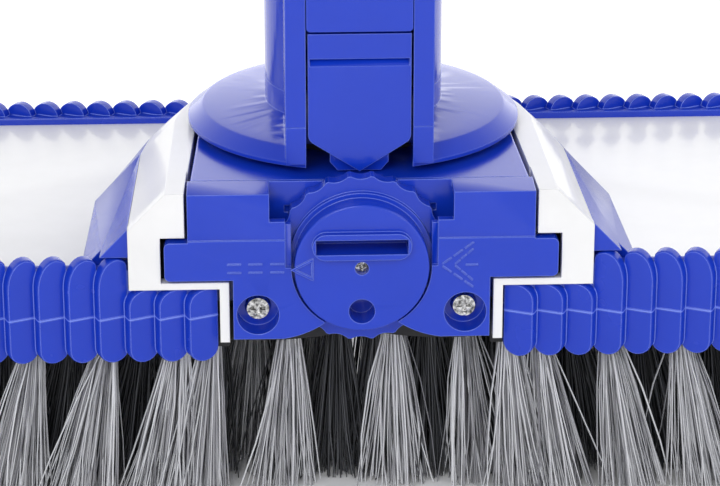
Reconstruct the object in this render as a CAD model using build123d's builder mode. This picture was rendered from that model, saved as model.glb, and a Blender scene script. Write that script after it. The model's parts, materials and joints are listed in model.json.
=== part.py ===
"""Folding pool wall brush head: two bristle wings, a geared hub with a coin dial, and a swivelling pole socket.

Frame: +X to the right wing's tip, -Y to the dial side (front), +Z up towards the pole.
The origin is on the bristle tips, midway along and midway across the head. Millimetres.
Rest is the straight head: the dial's arrow points left and both wings lie in line.
"""

from build123d import *
from math import acos, atan2, cos, degrees, hypot, pi, radians, sin, sqrt, tan
import os

os.makedirs("parts", exist_ok=True)

# ---------------------------------------------------------------- driving dimensions
# overall
fin_pitch = 8.6
fin_count_front = 22
fin_count_end = 17
wing_inner_x = 40.6
front_y = -71.0
bristle_length = 50.0
corner_radius = 14.0
plastic_wall = 2.2
part_gap = 0.8
running_gap = 0.05
slide_gap = 0.3

# heights
block_height = 10.0
fin_height = 31.7
fin_drop = 1.7
short_fin_height = 22.5
short_fin_count = 3
ledge_drop = 3.8
deck_drop = 6.0
deck_thickness = 3.0
hump_rise = 25.8
ridge_rise = 15.0

# hub
hub_half_width = 48.4
hub_front_y = -59.0
pivot_x = 26.0
pivot_y = -8.0
pivot_boss_radius = 20.0
cover_front_y = -71.3
cover_step = 0.5

# dial
dial_axis_drop = 2.2
boss_radius = 19.1
boss_proud = 1.5
ring_radius = 25.0
ring_front_y = -65.0
ring_thickness = 4.6
collar_radius = 20.5
collar_proud = 1.8
scallop_count = 24
scallop_radius = 5.6
scallop_depth = 0.9
coin_bar_length = 28.0
coin_bar_width = 7.8
coin_bar_rise = 2.2
coin_bar_offset = 7.2
coin_slot_length = 26.0
coin_slot_width = 4.4
coin_slot_depth = 7.0

# gears
gear_module = 1.25
pinion_teeth = 8
sector_teeth = 58
tooth_thickness = 1.6
rack_depth = 8.2
rack_height = 6.4

# hinge pins
pin_radius = 5.0
pin_head_radius = 9.0
bush_wall = 2.0

# turntable, socket and latch
swivel_y = -7.6
swivel_range = 70.0
flange_radius = 49.4
flange_gap = 1.8
flange_height = 4.5
flange_top_radius = 45.0
tube_radius = 26.3
tube_wall = 3.0
pole_radius = 16.2
sleeve_wall = 2.6
socket_height = 113.0
cheek_reach = 49.5
cheek_half_gap = 15.2
cheek_thickness = 5.8
lug_reach = 44.1
spigot_radius = 12.0

# bristles
row_root = 7.0
row_tip = 13.0

# ---------------------------------------------------------------- derived places
half_span = wing_inner_x + fin_count_front * fin_pitch
rear_y = front_y + fin_count_end * fin_pitch
block_top_z = bristle_length + block_height
fin_bottom_z = bristle_length - fin_drop
crest_z = fin_bottom_z + fin_height
deck_z = crest_z - deck_drop
deck_under_z = deck_z - deck_thickness
ledge_z = crest_z - ledge_drop
ridge_z = deck_z + ridge_rise
hump_z = deck_z + hump_rise
band_depth = 9.0
wing_front_y = front_y + band_depth
wing_rear_y = rear_y - band_depth
wing_end_x = half_span - band_depth
hub_floor_z = deck_z + 1.0
dial_z = crest_z - dial_axis_drop
flange_z = hump_z + flange_gap
short_fin_top_z = fin_bottom_z + short_fin_height

pinion_radius = gear_module * pinion_teeth / 2
sector_radius = gear_module * sector_teeth / 2
tooth_pitch = pi * gear_module
rack_travel = pinion_radius * pi
fold_angle = 180.0 * pinion_teeth / sector_teeth
addendum = 0.8 * gear_module
dedendum = 1.15 * gear_module
pressure_angle = radians(20)
rack_line_y = pivot_y - sector_radius
rack_back_y = rack_line_y - dedendum
rack_front_y = rack_back_y - rack_depth

centre_gap = 1.5
block_sweep_radius = 50.0


def front_plane(y):
    """A drawing plane facing the front at depth y: its axes are X and Z, and it extrudes towards the viewer."""
    return Plane.XZ.offset(-y)


def fold_clear_x(y):
    """The inner limit of a wing at depth y, so that the folded wings stay centre_gap from the middle."""
    reach = (y - pivot_y) * sin(radians(fold_angle)) - (pivot_x - centre_gap)
    return pivot_x + reach / cos(radians(fold_angle))


def hub_plan(margin=0.0):
    """The hub seen from above, grown by margin: tapered sides whose rear corners are round about the pins."""
    side = pivot_boss_radius * cos(radians(45))
    with BuildSketch() as plan:
        with BuildLine():
            Polyline((-pivot_x - pivot_boss_radius, pivot_y), (-hub_half_width, hub_front_y),
                     (hub_half_width, hub_front_y), (pivot_x + pivot_boss_radius, pivot_y))
            ThreePointArc((pivot_x + pivot_boss_radius, pivot_y), (pivot_x + side, pivot_y + side),
                          (pivot_x, pivot_y + pivot_boss_radius))
            Line((pivot_x, pivot_y + pivot_boss_radius), (-pivot_x, pivot_y + pivot_boss_radius))
            ThreePointArc((-pivot_x, pivot_y + pivot_boss_radius), (-pivot_x - side, pivot_y + side),
                          (-pivot_x - pivot_boss_radius, pivot_y))
        make_face()
        if margin:
            offset(amount=margin)
    return plan.sketch


def folded_hub_plan(margin):
    """The hub as the right wing sees it when fully folded, grown by margin."""
    pin_axis = Axis((pivot_x, pivot_y, 0), (0, 0, 1))
    return hub_plan(margin).rotate(pin_axis, -fold_angle)


def middle_plan():
    """The ground that the right wing leaves free for the other wing, seen from above."""
    start_y = pivot_y + ((centre_gap - pivot_x) * cos(radians(fold_angle)) + pivot_x - centre_gap) / sin(
        radians(fold_angle))
    far_y = rear_y + 20
    with BuildSketch() as plan:
        Polygon((-60, front_y - 20), (centre_gap, front_y - 20), (centre_gap, start_y),
                (fold_clear_x(far_y), far_y), (-60, far_y), align=None)
    return plan.sketch


def mirrored(source):
    """The left-hand twin of a right-hand piece."""
    with BuildPart() as twin:
        mirror(source.part, about=Plane.YZ)
    return twin


def involute(radius, base):
    """The involute angle, in radians, at a radius outside the base circle."""
    angle = acos(min(1.0, base / radius))
    return tan(angle) - angle


def gear_tooth(teeth):
    """One gear tooth pointing along +Y from the gear's centre, as a closed list of points."""
    pitch_radius = gear_module * teeth / 2
    base = pitch_radius * cos(pressure_angle)
    root = pitch_radius - dedendum
    tip = pitch_radius + addendum
    half_pitch_angle = tooth_thickness / (2 * pitch_radius)
    flank_start = max(base, root)
    steps = 5
    flank = []
    if root < base:
        start_angle = half_pitch_angle + involute(pitch_radius, base)
        flank.append((root - 0.3, 0.75 * start_angle))
    for step in range(steps + 1):
        radius = flank_start + (tip - flank_start) * step / steps
        angle = half_pitch_angle + involute(pitch_radius, base) - involute(radius, base)
        flank.append((radius, angle))
    if root >= base:
        flank.insert(0, (root - 0.3, flank[0][1]))
    left = [(-radius * sin(angle), radius * cos(angle)) for radius, angle in flank]
    right = [(-x, y) for x, y in reversed(left)]
    return left + right


def rack_tooth(x, up):
    """One rack tooth about x on its pitch line, pointing along +Y when up is 1 and -Y when up is -1."""
    half = tooth_thickness / 2
    tip = half - addendum * tan(pressure_angle)
    foot = half + dedendum * tan(pressure_angle)
    overlap = 0.2
    return [(x - foot, -up * (dedendum + overlap)), (x - foot, -up * dedendum), (x - tip, up * addendum),
            (x + tip, up * addendum), (x + foot, -up * dedendum), (x + foot, -up * (dedendum + overlap))]


# ---------------------------------------------------------------- hub body
hub_roof_z = hump_z - 2.5
hub_wall_depth = 4.6
sector_top_z = dial_z + 12.2
pin_top_z = hub_roof_z - 0.3
spigot_top_z = flange_z + 13.3
swivel_bolt_radius = 4.0
cover_boss_x = 29.5
cover_boss_z = crest_z - 16.5
screw_radius = 1.75
rack_top_z = dial_z + pinion_radius + dedendum + rack_height
stop_lug_angle = swivel_range + 15.0

with BuildPart() as hub_body:
    with BuildSketch(Plane.XY.offset(hub_floor_z + 2)):
        add(hub_plan())
    extrude(amount=hump_z - hub_floor_z - 2)
    with BuildSketch(Plane.XY.offset(hub_floor_z + 2)):
        add(hub_plan(-plastic_wall))
    extrude(amount=hub_roof_z - hub_floor_z - 2, mode=Mode.SUBTRACT)
    with BuildSketch(front_plane(hub_front_y + hub_wall_depth)):
        with Locations((0, (hub_floor_z + 2 + hub_roof_z) / 2)):
            Rectangle(2 * (hub_half_width - plastic_wall), hub_roof_z - hub_floor_z - 2)
    extrude(amount=hub_wall_depth)
    # bosses that hold the hinge pins: the left one reaches the floor, the right one clears its sector gear
    for pin_side, boss_bottom_z in ((1, sector_top_z + 1), (-1, hub_floor_z + 2)):
        with BuildSketch(Plane.XY.offset(boss_bottom_z)):
            with Locations((pin_side * pivot_x, pivot_y)):
                Circle(8)
        extrude(amount=hub_roof_z - boss_bottom_z)
    # guide rib over the upper rack
    with BuildSketch(Plane.XY.offset(rack_top_z + slide_gap)):
        with Locations((10, rack_front_y + 4)):
            Rectangle(66, 4)
    extrude(amount=hub_roof_z - rack_top_z - slide_gap)
    # spigot that the turntable turns on
    with BuildSketch(Plane.XY.offset(hump_z)):
        with Locations((0, swivel_y)):
            Circle(spigot_radius)
    extrude(amount=spigot_top_z - hump_z)
    # stops of the swivel
    with BuildSketch(Plane.XY.offset(hump_z)):
        for lug_side in (-1, 1):
            lug_x = lug_side * lug_reach * sin(radians(stop_lug_angle))
            lug_y = swivel_y - lug_reach * cos(radians(stop_lug_angle))
            with Locations(Location((lug_x, lug_y, 0), (0, 0, lug_side * stop_lug_angle))):
                Rectangle(5, 2)
    extrude(amount=flange_gap - slide_gap)
    # holes: pins, swivel bolt and its nut, pinion journal, cover screws
    with BuildSketch(Plane.XY.offset(hub_floor_z)):
        with Locations((-pivot_x, pivot_y), (pivot_x, pivot_y)):
            Circle(pin_radius + 0.02)
    extrude(amount=pin_top_z - hub_floor_z, mode=Mode.SUBTRACT)
    with BuildSketch(Plane.XY.offset(hub_floor_z)):
        with Locations((0, swivel_y)):
            Circle(swivel_bolt_radius + 0.2)
    extrude(amount=60, mode=Mode.SUBTRACT)
    with BuildSketch(front_plane(hub_front_y + hub_wall_depth)):
        with Locations((0, dial_z)):
            Circle(6 + running_gap)
    extrude(amount=hub_wall_depth, mode=Mode.SUBTRACT)
    fillet(hub_body.faces().filter_by_position(Axis.Z, hump_z - 0.01, hump_z + 0.01).edges().filter_by(
        lambda edge: edge.center().Y > pivot_y and edge.center().Z > hump_z - 0.1
        and hypot(edge.center().X, edge.center().Y - swivel_y) > spigot_radius + 2).filter_by(
        lambda edge: edge.length > 10), radius=0.8)

# ---------------------------------------------------------------- hub base: floor plate, rack trough and pinion bearing
trough_floor_z = dial_z - pinion_radius - dedendum - rack_height - slide_gap
trough_rear_y = rack_line_y + 3.8
bearing_half = 7.0
bearing_top_z = rack_top_z + 0.8
sleeve_radius = 9.0

with BuildPart() as hub_base:
    with BuildSketch(Plane.XY.offset(hub_floor_z)):
        add(hub_plan())
    extrude(amount=2)
    trough_width = 2 * (hub_half_width - 0.9)
    trough_depth = trough_rear_y - hub_front_y - 1
    trough_y = (trough_rear_y + hub_front_y + 1) / 2
    with BuildSketch(Plane.XY.offset(trough_floor_z - 2)):
        with Locations((0, trough_y)):
            Rectangle(trough_width, trough_depth)
    extrude(amount=hub_floor_z + 2 - trough_floor_z + 2)
    inner_depth = trough_rear_y + 1 - rack_front_y + slide_gap
    with BuildSketch(Plane.XY.offset(trough_floor_z)):
        with Locations((0, rack_front_y - slide_gap + inner_depth / 2)):
            Rectangle(trough_width - 2 * plastic_wall, inner_depth)
    extrude(amount=hub_floor_z + 2 - trough_floor_z, mode=Mode.SUBTRACT)
    # rib behind both racks that carries the pinion's rear journal
    rib_depth = 2.6
    rib_y = rack_back_y + slide_gap + rib_depth / 2
    with BuildSketch(Plane.XY.offset(trough_floor_z)):
        with Locations((0, rib_y)):
            Rectangle(2 * bearing_half, rib_depth)
    extrude(amount=bearing_top_z - trough_floor_z)
    with BuildSketch(front_plane(rib_y + rib_depth)):
        with Locations((0, dial_z)):
            Circle(3 + running_gap)
    extrude(amount=2 * rib_depth, mode=Mode.SUBTRACT)
    # the right pin's gear sleeve passes through the floor; the left pin is held by it
    with BuildSketch(Plane.XY.offset(hub_floor_z)):
        with Locations((pivot_x, pivot_y)):
            Circle(sleeve_radius + slide_gap)
        with Locations((-pivot_x, pivot_y)):
            Circle(pin_radius + 0.02)
        with Locations((0, swivel_y)):
            Circle(8)
    extrude(amount=2, mode=Mode.SUBTRACT)
    # front half of the pinion's front bearing
    with BuildSketch(front_plane(rack_front_y - slide_gap)):
        with Locations((0, dial_z)):
            Circle(6 + running_gap)
    extrude(amount=10, mode=Mode.SUBTRACT)
    # bosses of the cover screws on the trough's front wall
    with BuildSketch(front_plane(rack_front_y - slide_gap)):
        with Locations((-cover_boss_x, cover_boss_z + 1.0), (cover_boss_x, cover_boss_z + 1.0)):
            Circle(4.2)
    extrude(amount=rack_front_y - slide_gap - hub_front_y)
    with BuildSketch(front_plane(rack_front_y - slide_gap - 0.6)):
        with Locations((-cover_boss_x, cover_boss_z), (cover_boss_x, cover_boss_z)):
            Circle(screw_radius + 0.02)
    extrude(amount=12, mode=Mode.SUBTRACT)

# ---------------------------------------------------------------- front cover
cover_rear_y = hub_front_y - 0.2
cover_top_half = 49.1
ear_half = 55.8
ear_top_z = crest_z + 5.6
ear_bottom_z = crest_z - 5.9
leg_half = 36.5
cover_bottom_z = crest_z - 24.0
bottom_flat_x = 22.4
crease_z = crest_z + 6.1
notch_half = 26.0
notch_bottom_z = crest_z + 11.5
dial_hole_radius = boss_radius + part_gap
hole_foot_x = 10.3
hole_foot_z = dial_z - sqrt(dial_hole_radius ** 2 - hole_foot_x ** 2)
well_radius = 6.0
well_depth = 7.0
washer_radius = 12.0
face_wall = 3.3
back_web = 1.0
mark_width = 0.35
lip_step = 1.2
lip_width = 1.7
lip_drop = 1.0


def cover_outline():
    """The cover's front without its ears: square shoulders, a narrower leg, and a foot curved up to the dial."""
    bend_x = (bottom_flat_x + hole_foot_x) / 2
    bend_z = cover_bottom_z + 0.32 * (hole_foot_z - cover_bottom_z)
    with BuildSketch(Plane.XZ) as outline:
        with BuildLine():
            for side in (-1, 1):
                Polyline((0, hump_z), (side * cover_top_half, hump_z), (side * cover_top_half, ear_bottom_z),
                         (side * leg_half, ear_bottom_z), (side * leg_half, cover_bottom_z),
                         (side * bottom_flat_x, cover_bottom_z))
                ThreePointArc((side * bottom_flat_x, cover_bottom_z), (side * bend_x, bend_z),
                              (side * hole_foot_x, hole_foot_z))
                Line((side * hole_foot_x, hole_foot_z), (0, hole_foot_z))
        make_face()
    return outline.sketch


with BuildPart() as front_cover:
    cover_depth = cover_rear_y - cover_front_y
    with BuildSketch(front_plane(cover_rear_y)):
        add(cover_outline().rotate(Axis.X, -90))
    extrude(amount=cover_depth)
    with BuildSketch(front_plane(cover_rear_y - back_web)):
        add(offset(cover_outline().rotate(Axis.X, -90), amount=-plastic_wall, mode=Mode.PRIVATE))
    extrude(amount=cover_depth - back_web - face_wall, mode=Mode.SUBTRACT)
    with BuildSketch(front_plane(cover_front_y + 4.4)):
        with Locations((0, (ear_top_z + ear_bottom_z) / 2)):
            RectangleRounded(2 * ear_half, ear_top_z - ear_bottom_z, 1.6)
    extrude(amount=4.4)
    # the face above the crease stands a little further back
    with BuildSketch(front_plane(cover_front_y + cover_step)):
        with Locations((0, (crease_z + hump_z) / 2 + 1)):
            Rectangle(2 * ear_half + 2, hump_z - crease_z + 2)
    extrude(amount=2, mode=Mode.SUBTRACT)
    # wells of the two screws
    with BuildSketch(front_plane(cover_rear_y)):
        with Locations((-cover_boss_x, cover_boss_z), (cover_boss_x, cover_boss_z)):
            Circle(well_radius + 1.0)
    extrude(amount=cover_depth - 1)
    with BuildSketch(front_plane(cover_front_y + well_depth)):
        with Locations((-cover_boss_x, cover_boss_z), (cover_boss_x, cover_boss_z)):
            Circle(well_radius)
    extrude(amount=well_depth + 1, mode=Mode.SUBTRACT)
    with BuildSketch(front_plane(cover_rear_y)):
        with Locations((-cover_boss_x, cover_boss_z), (cover_boss_x, cover_boss_z)):
            Circle(2.2)
    extrude(amount=cover_depth, mode=Mode.SUBTRACT)
    # the dial's opening, wider above its middle, the notch over it and the room of its ring
    with BuildSketch(front_plane(cover_rear_y - back_web)):
        with Locations((0, dial_z)):
            Circle(dial_hole_radius)
        with Locations((0, (notch_bottom_z + hump_z) / 2 + 2)):
            Rectangle(2 * notch_half, hump_z - notch_bottom_z + 4)
        with Locations((0, (dial_z + notch_bottom_z) / 2)):
            Rectangle(2 * dial_hole_radius, notch_bottom_z - dial_z + 0.2)
    extrude(amount=cover_depth + 1, mode=Mode.SUBTRACT)
    # a low lip stands on each side of the opening, just behind the face
    with BuildSketch(front_plane(cover_front_y + lip_step)):
        with Locations((0, (dial_z + notch_bottom_z) / 2)):
            Rectangle(2 * (dial_hole_radius + lip_width), notch_bottom_z - dial_z)
    extrude(amount=lip_step + 1, mode=Mode.SUBTRACT)
    with BuildSketch(front_plane(cover_rear_y)):
        with Locations((0, notch_bottom_z)):
            Rectangle(2 * (dial_hole_radius + lip_width), 2 * lip_drop)
    extrude(amount=cover_depth + 1, mode=Mode.SUBTRACT)
    with BuildSketch(front_plane(cover_rear_y - back_web)):
        with Locations((0, dial_z)):
            Circle(ring_radius + part_gap)
    extrude(amount=cover_rear_y - back_web - ring_front_y + collar_proud + part_gap, mode=Mode.SUBTRACT)
    with BuildSketch(front_plane(cover_rear_y)):
        with Locations((0, dial_z)):
            Circle(washer_radius + part_gap)
    extrude(amount=back_web, mode=Mode.SUBTRACT)
    # generic position marks: level strokes on the left, a nested chevron on the right
    with BuildSketch(front_plane(cover_front_y)):
        for mark_x in (-36.1, -30.1, -23.9):
            for mark_z in (-1.0, -3.5):
                with Locations((mark_x, crest_z + mark_z)):
                    Rectangle(3.8, mark_width)
        for apex_x, reach, rise in ((22.4, 9.8, 7.2), (26.2, 5.6, 5.0)):
            for arm in (-1, 1):
                angle = degrees(atan2(arm * rise, reach))
                length = hypot(reach, rise)
                for step in (0.18, 0.5, 0.82):
                    stroke = (apex_x + step * reach, crest_z - 2.0 + arm * step * rise)
                    with Locations(Location((stroke[0], stroke[1], 0), (0, 0, angle))):
                        Rectangle(length * 0.24, mark_width)
        with Locations((31.2, crest_z - 2.0)):
            Rectangle(3.4, mark_width)
    extrude(amount=0.4)

# ---------------------------------------------------------------- dial
boss_front_y = cover_front_y - boss_proud
bar_front_y = boss_front_y - coin_bar_rise
ring_rear_y = ring_front_y + ring_thickness
dial_screw_radius = 1.7

with BuildPart() as dial:
    with BuildSketch(front_plane(ring_rear_y)):
        with Locations((0, dial_z)):
            Circle(ring_radius)
            with PolarLocations(ring_radius - scallop_depth + scallop_radius, scallop_count):
                Circle(scallop_radius, mode=Mode.SUBTRACT)
    extrude(amount=ring_thickness)
    with BuildSketch(front_plane(ring_front_y)):
        with Locations((0, dial_z)):
            Circle(collar_radius)
    extrude(amount=collar_proud)
    with BuildSketch(front_plane(ring_front_y)):
        with Locations((0, dial_z)):
            Circle(boss_radius)
    extrude(amount=ring_front_y - boss_front_y)
    fillet(dial.faces().sort_by(Axis.Y)[0].outer_wire().edges(), radius=0.6)
    # raised coin bar and its slot
    with BuildSketch(front_plane(boss_front_y)):
        with Locations((0, dial_z + coin_bar_offset)):
            SlotOverall(coin_bar_length, coin_bar_width)
    extrude(amount=coin_bar_rise)
    with BuildSketch(front_plane(boss_front_y + coin_slot_depth)):
        with Locations((0, dial_z + coin_bar_offset)):
            Rectangle(coin_slot_length, coin_slot_width)
    extrude(amount=coin_bar_rise + coin_slot_depth + 1, mode=Mode.SUBTRACT)
    # arrow outline
    with BuildSketch(front_plane(boss_front_y)):
        with Locations((0, dial_z)):
            Polygon((-20.2, 0), (-13.8, 3.4), (-13.8, -3.4), align=None)
            Polygon((-18.7, 0), (-14.25, 2.35), (-14.25, -2.35), align=None, mode=Mode.SUBTRACT)
    extrude(amount=0.5)
    # screw hole and finger hole
    with BuildSketch(front_plane(ring_rear_y)):
        with Locations((0, dial_z)):
            Circle(1.95)
    extrude(amount=30, mode=Mode.SUBTRACT)
    with BuildSketch(front_plane(boss_front_y + 8)):
        with Locations((0, dial_z - 13.1)):
            Circle(3.7)
    extrude(amount=10, mode=Mode.SUBTRACT)

# ---------------------------------------------------------------- drive pinion, dial washer and dial screw
pinion_front_y = ring_rear_y
teeth_front_y = rack_front_y - slide_gap
teeth_rear_y = rack_back_y - 0.4
journal_rear_y = rib_y + rib_depth / 2 + 0.4
tooth_outline = gear_tooth(pinion_teeth)

with BuildPart() as drive_pinion:
    with BuildSketch(front_plane(teeth_front_y)):
        with Locations((0, dial_z)):
            Circle(6)
    extrude(amount=teeth_front_y - pinion_front_y)
    with BuildSketch(front_plane(teeth_rear_y)):
        with Locations((0, dial_z)):
            Circle(pinion_radius - dedendum)
            for tooth in range(pinion_teeth):
                with Locations(Location((0, 0, 0), (0, 0, 360 * tooth / pinion_teeth))):
                    Polygon(*tooth_outline, align=None)
    extrude(amount=teeth_rear_y - teeth_front_y)
    with BuildSketch(front_plane(journal_rear_y)):
        with Locations((0, dial_z)):
            Circle(3)
    extrude(amount=journal_rear_y - teeth_rear_y)
    with BuildSketch(front_plane(pinion_front_y + 10)):
        with Locations((0, dial_z)):
            Circle(dial_screw_radius)
    extrude(amount=10, mode=Mode.SUBTRACT)

with BuildPart() as dial_screw:
    with BuildSketch(front_plane(boss_front_y + 5)):
        with Locations((0, dial_z)):
            Circle(1.85)
    extrude(amount=2.6)
    with BuildSketch(front_plane(pinion_front_y + 9)):
        with Locations((0, dial_z)):
            Circle(dial_screw_radius - 0.02)
    extrude(amount=pinion_front_y + 9 - boss_front_y - 5)
    with BuildSketch(front_plane(boss_front_y + 4)):
        with Locations((0, dial_z)):
            Rectangle(3.0, 0.6)
            Rectangle(0.6, 3.0)
    extrude(amount=2, mode=Mode.SUBTRACT)

with BuildPart() as dial_washer:
    with BuildSketch(front_plane(hub_front_y)):
        with Locations((0, dial_z)):
            Circle(washer_radius)
            Circle(6.3, mode=Mode.SUBTRACT)
    extrude(amount=hub_front_y - ring_rear_y - slide_gap)

# ---------------------------------------------------------------- racks
rack_overrun = 3.5
smooth_end_x = -rack_travel - rack_overrun


def build_rack(side, bar_root_z, up):
    """A rack bar: teeth towards the pinion for half a turn, and teeth on its back for one wing's sector."""
    bar_far_z = bar_root_z - up * rack_height
    centre_x = side * (smooth_end_x + pivot_x + rack_overrun) / 2
    length = pivot_x + rack_overrun - smooth_end_x
    with BuildPart() as rack:
        with BuildSketch(Plane.XY.offset(min(bar_root_z, bar_far_z))):
            with Locations((centre_x, (rack_front_y + rack_back_y) / 2)):
                Rectangle(length, rack_depth)
        extrude(amount=rack_height)
        with BuildSketch(front_plane(rack_back_y)):
            with Locations((0, bar_root_z + up * dedendum)):
                for step in range(-1, 5):
                    tooth_x = -side * (step + 0.5) * tooth_pitch
                    Polygon(*rack_tooth(tooth_x, up), align=None)
        extrude(amount=rack_depth)
        with BuildSketch(Plane.XY.offset(min(bar_root_z, bar_far_z))):
            with Locations((0, rack_line_y)):
                for step in range(-1, 5):
                    tooth_x = side * (pivot_x - (step + 0.5) * tooth_pitch)
                    if abs(tooth_x) < pivot_x + rack_overrun - 1.2:
                        Polygon(*rack_tooth(tooth_x, 1), align=None)
        extrude(amount=rack_height)
    return rack


right_rack = build_rack(1, dial_z + pinion_radius + dedendum, -1)
left_rack = build_rack(-1, dial_z - pinion_radius - dedendum, 1)

# ---------------------------------------------------------------- sector gears on the wings
sector_thickness = 4.0
left_sector_z = deck_z - 4 - sector_thickness
right_sector_z = sector_top_z - sector_thickness
sector_outline = gear_tooth(sector_teeth)
tooth_angle = 360 / sector_teeth


def sector_plan(side):
    """A toothed sector about its pin: its web, its rim and the teeth that one fold of the wing uses."""
    root = sector_radius - dedendum
    first = -0.6 * tooth_angle
    last = fold_angle + 1.5 * tooth_angle
    with BuildSketch() as plan:
        with BuildLine():
            Line((0, 0), (-side * root * sin(radians(first)), -root * cos(radians(first))))
            middle = (first + last) / 2
            ThreePointArc((-side * root * sin(radians(first)), -root * cos(radians(first))),
                          (-side * root * sin(radians(middle)), -root * cos(radians(middle))),
                          (-side * root * sin(radians(last)), -root * cos(radians(last))))
            Line((-side * root * sin(radians(last)), -root * cos(radians(last))), (0, 0))
        make_face()
        for step in range(6):
            turn = 180 - side * step * tooth_angle
            with Locations(Location((0, 0, 0), (0, 0, turn))):
                Polygon(*sector_outline, align=None)
        Circle(sleeve_radius)
        Circle(pin_radius + slide_gap, mode=Mode.SUBTRACT)
    return plan.sketch.moved(Location((side * pivot_x, pivot_y, 0)))


with BuildPart() as right_sector_gear:
    with BuildSketch(Plane.XY.offset(right_sector_z)):
        add(sector_plan(1))
    extrude(amount=sector_thickness)
    with BuildSketch(Plane.XY.offset(deck_z)):
        with Locations((pivot_x, pivot_y)):
            Circle(sleeve_radius)
            Circle(pin_radius + slide_gap, mode=Mode.SUBTRACT)
    extrude(amount=right_sector_z - deck_z)

with BuildPart() as left_sector_gear:
    with BuildSketch(Plane.XY.offset(left_sector_z)):
        add(sector_plan(-1))
    extrude(amount=sector_thickness)

# ---------------------------------------------------------------- hinge pins and bushes
pin_shoulder_z = left_sector_z - slide_gap
pin_head_height = 3.0


def build_pin(side):
    """A shoulder pin pressed up into the hub, with its head under the wing."""
    with BuildPart() as pin:
        with BuildSketch(Plane.XY.offset(pin_shoulder_z)):
            with Locations((side * pivot_x, pivot_y)):
                Circle(pin_radius)
        extrude(amount=pin_top_z - pin_shoulder_z)
        with BuildSketch(Plane.XY.offset(pin_shoulder_z - pin_head_height)):
            with Locations((side * pivot_x, pivot_y)):
                Circle(pin_head_radius)
        extrude(amount=pin_head_height)
        fillet(pin.edges().filter_by(GeomType.CIRCLE).sort_by(Axis.Z)[0], radius=0.6)
    return pin


def build_bush(side, bottom_z):
    """The bearing bush in a wing's eye."""
    with BuildPart() as bush:
        with BuildSketch(Plane.XY.offset(bottom_z)):
            with Locations((side * pivot_x, pivot_y)):
                Circle(pin_radius + bush_wall)
                Circle(pin_radius + running_gap, mode=Mode.SUBTRACT)
        extrude(amount=deck_z - bottom_z)
    return bush


right_hinge_pin = build_pin(1)
left_hinge_pin = build_pin(-1)
right_hinge_bush = build_bush(1, left_sector_z)
left_hinge_bush = build_bush(-1, deck_z - 4)

# ---------------------------------------------------------------- wings: plans shared by block, deck and bumper
eye_radius = 12.0
cheek_gap = 1.1
leg_inner_x = leg_half + cheek_gap
leg_outer_x = wing_inner_x - 0.3


def wing_ground():
    """The right wing inside its bumper, seen from above, with its inner end cut for folding."""
    with BuildSketch() as plan:
        with Locations(((centre_gap + wing_end_x) / 2, (wing_front_y + wing_rear_y) / 2)):
            Rectangle(wing_end_x - centre_gap, wing_rear_y - wing_front_y)
        fillet(plan.vertices().group_by(Axis.X)[-1], radius=corner_radius - band_depth)
        add(middle_plan(), mode=Mode.SUBTRACT)
    return plan.sketch


def swept_front():
    """The ground in front of the hinge that a folding block would sweep into the cover."""
    with BuildSketch() as plan:
        with Locations(((leg_inner_x - 1) / 2, (wing_front_y + pivot_y) / 2 - 2)):
            Rectangle(leg_inner_x + 1, pivot_y - wing_front_y + 4)
        with Locations((pivot_x, pivot_y)):
            Circle(block_sweep_radius, mode=Mode.SUBTRACT)
    return plan.sketch


# screws that hold each block up to the deck's posts
first_screw_x = 70.0
last_screw_x = wing_end_x - 15.8
screw_inset = 21.5
block_screw_places = []
for screw_x in (first_screw_x, (first_screw_x + last_screw_x) / 2, last_screw_x):
    block_screw_places.append((screw_x, wing_front_y + screw_inset))
    block_screw_places.append((screw_x, wing_rear_y - screw_inset))
post_radius = 4.5

with BuildPart() as right_brush_block:
    with BuildSketch(Plane.XY.offset(bristle_length)):
        add(wing_ground())
        add(swept_front(), mode=Mode.SUBTRACT)
        add(offset(middle_plan(), amount=1.0, mode=Mode.PRIVATE), mode=Mode.SUBTRACT)
    extrude(amount=block_height)
    with BuildSketch(Plane.XY.offset(bristle_length)):
        with Locations(*block_screw_places):
            Circle(3.6)
    extrude(amount=2.0, mode=Mode.SUBTRACT)
    with BuildSketch(Plane.XY.offset(bristle_length)):
        with Locations(*block_screw_places):
            Circle(2.1)
    extrude(amount=block_height, mode=Mode.SUBTRACT)

with BuildPart() as right_block_screws:
    for place in block_screw_places:
        with BuildSketch(Plane.XY.offset(bristle_length)):
            with Locations(place):
                Circle(3.5)
        extrude(amount=2.0)
        with BuildSketch(Plane.XY.offset(bristle_length + 2)):
            with Locations(place):
                Circle(1.98)
        extrude(amount=block_height + 5)

# ---------------------------------------------------------------- wing deck with its cheek and hump
cheek_front_y = front_y + 1.0
cheek_wall = 4.0
hump_inner_x = 5.0
hump_base = [(hump_inner_x, cheek_front_y), (80.3, cheek_front_y), (78.2, -5), (74, 9), (64, 28), (55, 50),
             (44, wing_rear_y - 0.5), (hump_inner_x, wing_rear_y - 0.5)]
hump_ridge = [(hump_inner_x, cheek_front_y), (66, cheek_front_y), (64, -5), (61.6, 9), (56, 26), (49.5, 41),
              (39, 51), (hump_inner_x, 54)]
hump_crown = [(hump_inner_x, cheek_front_y), (55.4, cheek_front_y), (53.5, -5), (51, 6), (46, 19), (40, 29),
              (32, 36), (hump_inner_x, 38)]


def rear_trim():
    """What the hump gives up so that it clears the hub, at rest and folded, and the other wing."""
    with BuildSketch() as plan:
        add(hub_plan(1.0))
        add(folded_hub_plan(1.0))
        add(middle_plan())
        Polygon((-10, front_y - 20), (50, front_y - 20), (50, front_y), (49.3, front_y + 20), (-10, front_y + 20),
                align=None)
    return plan.sketch


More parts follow.
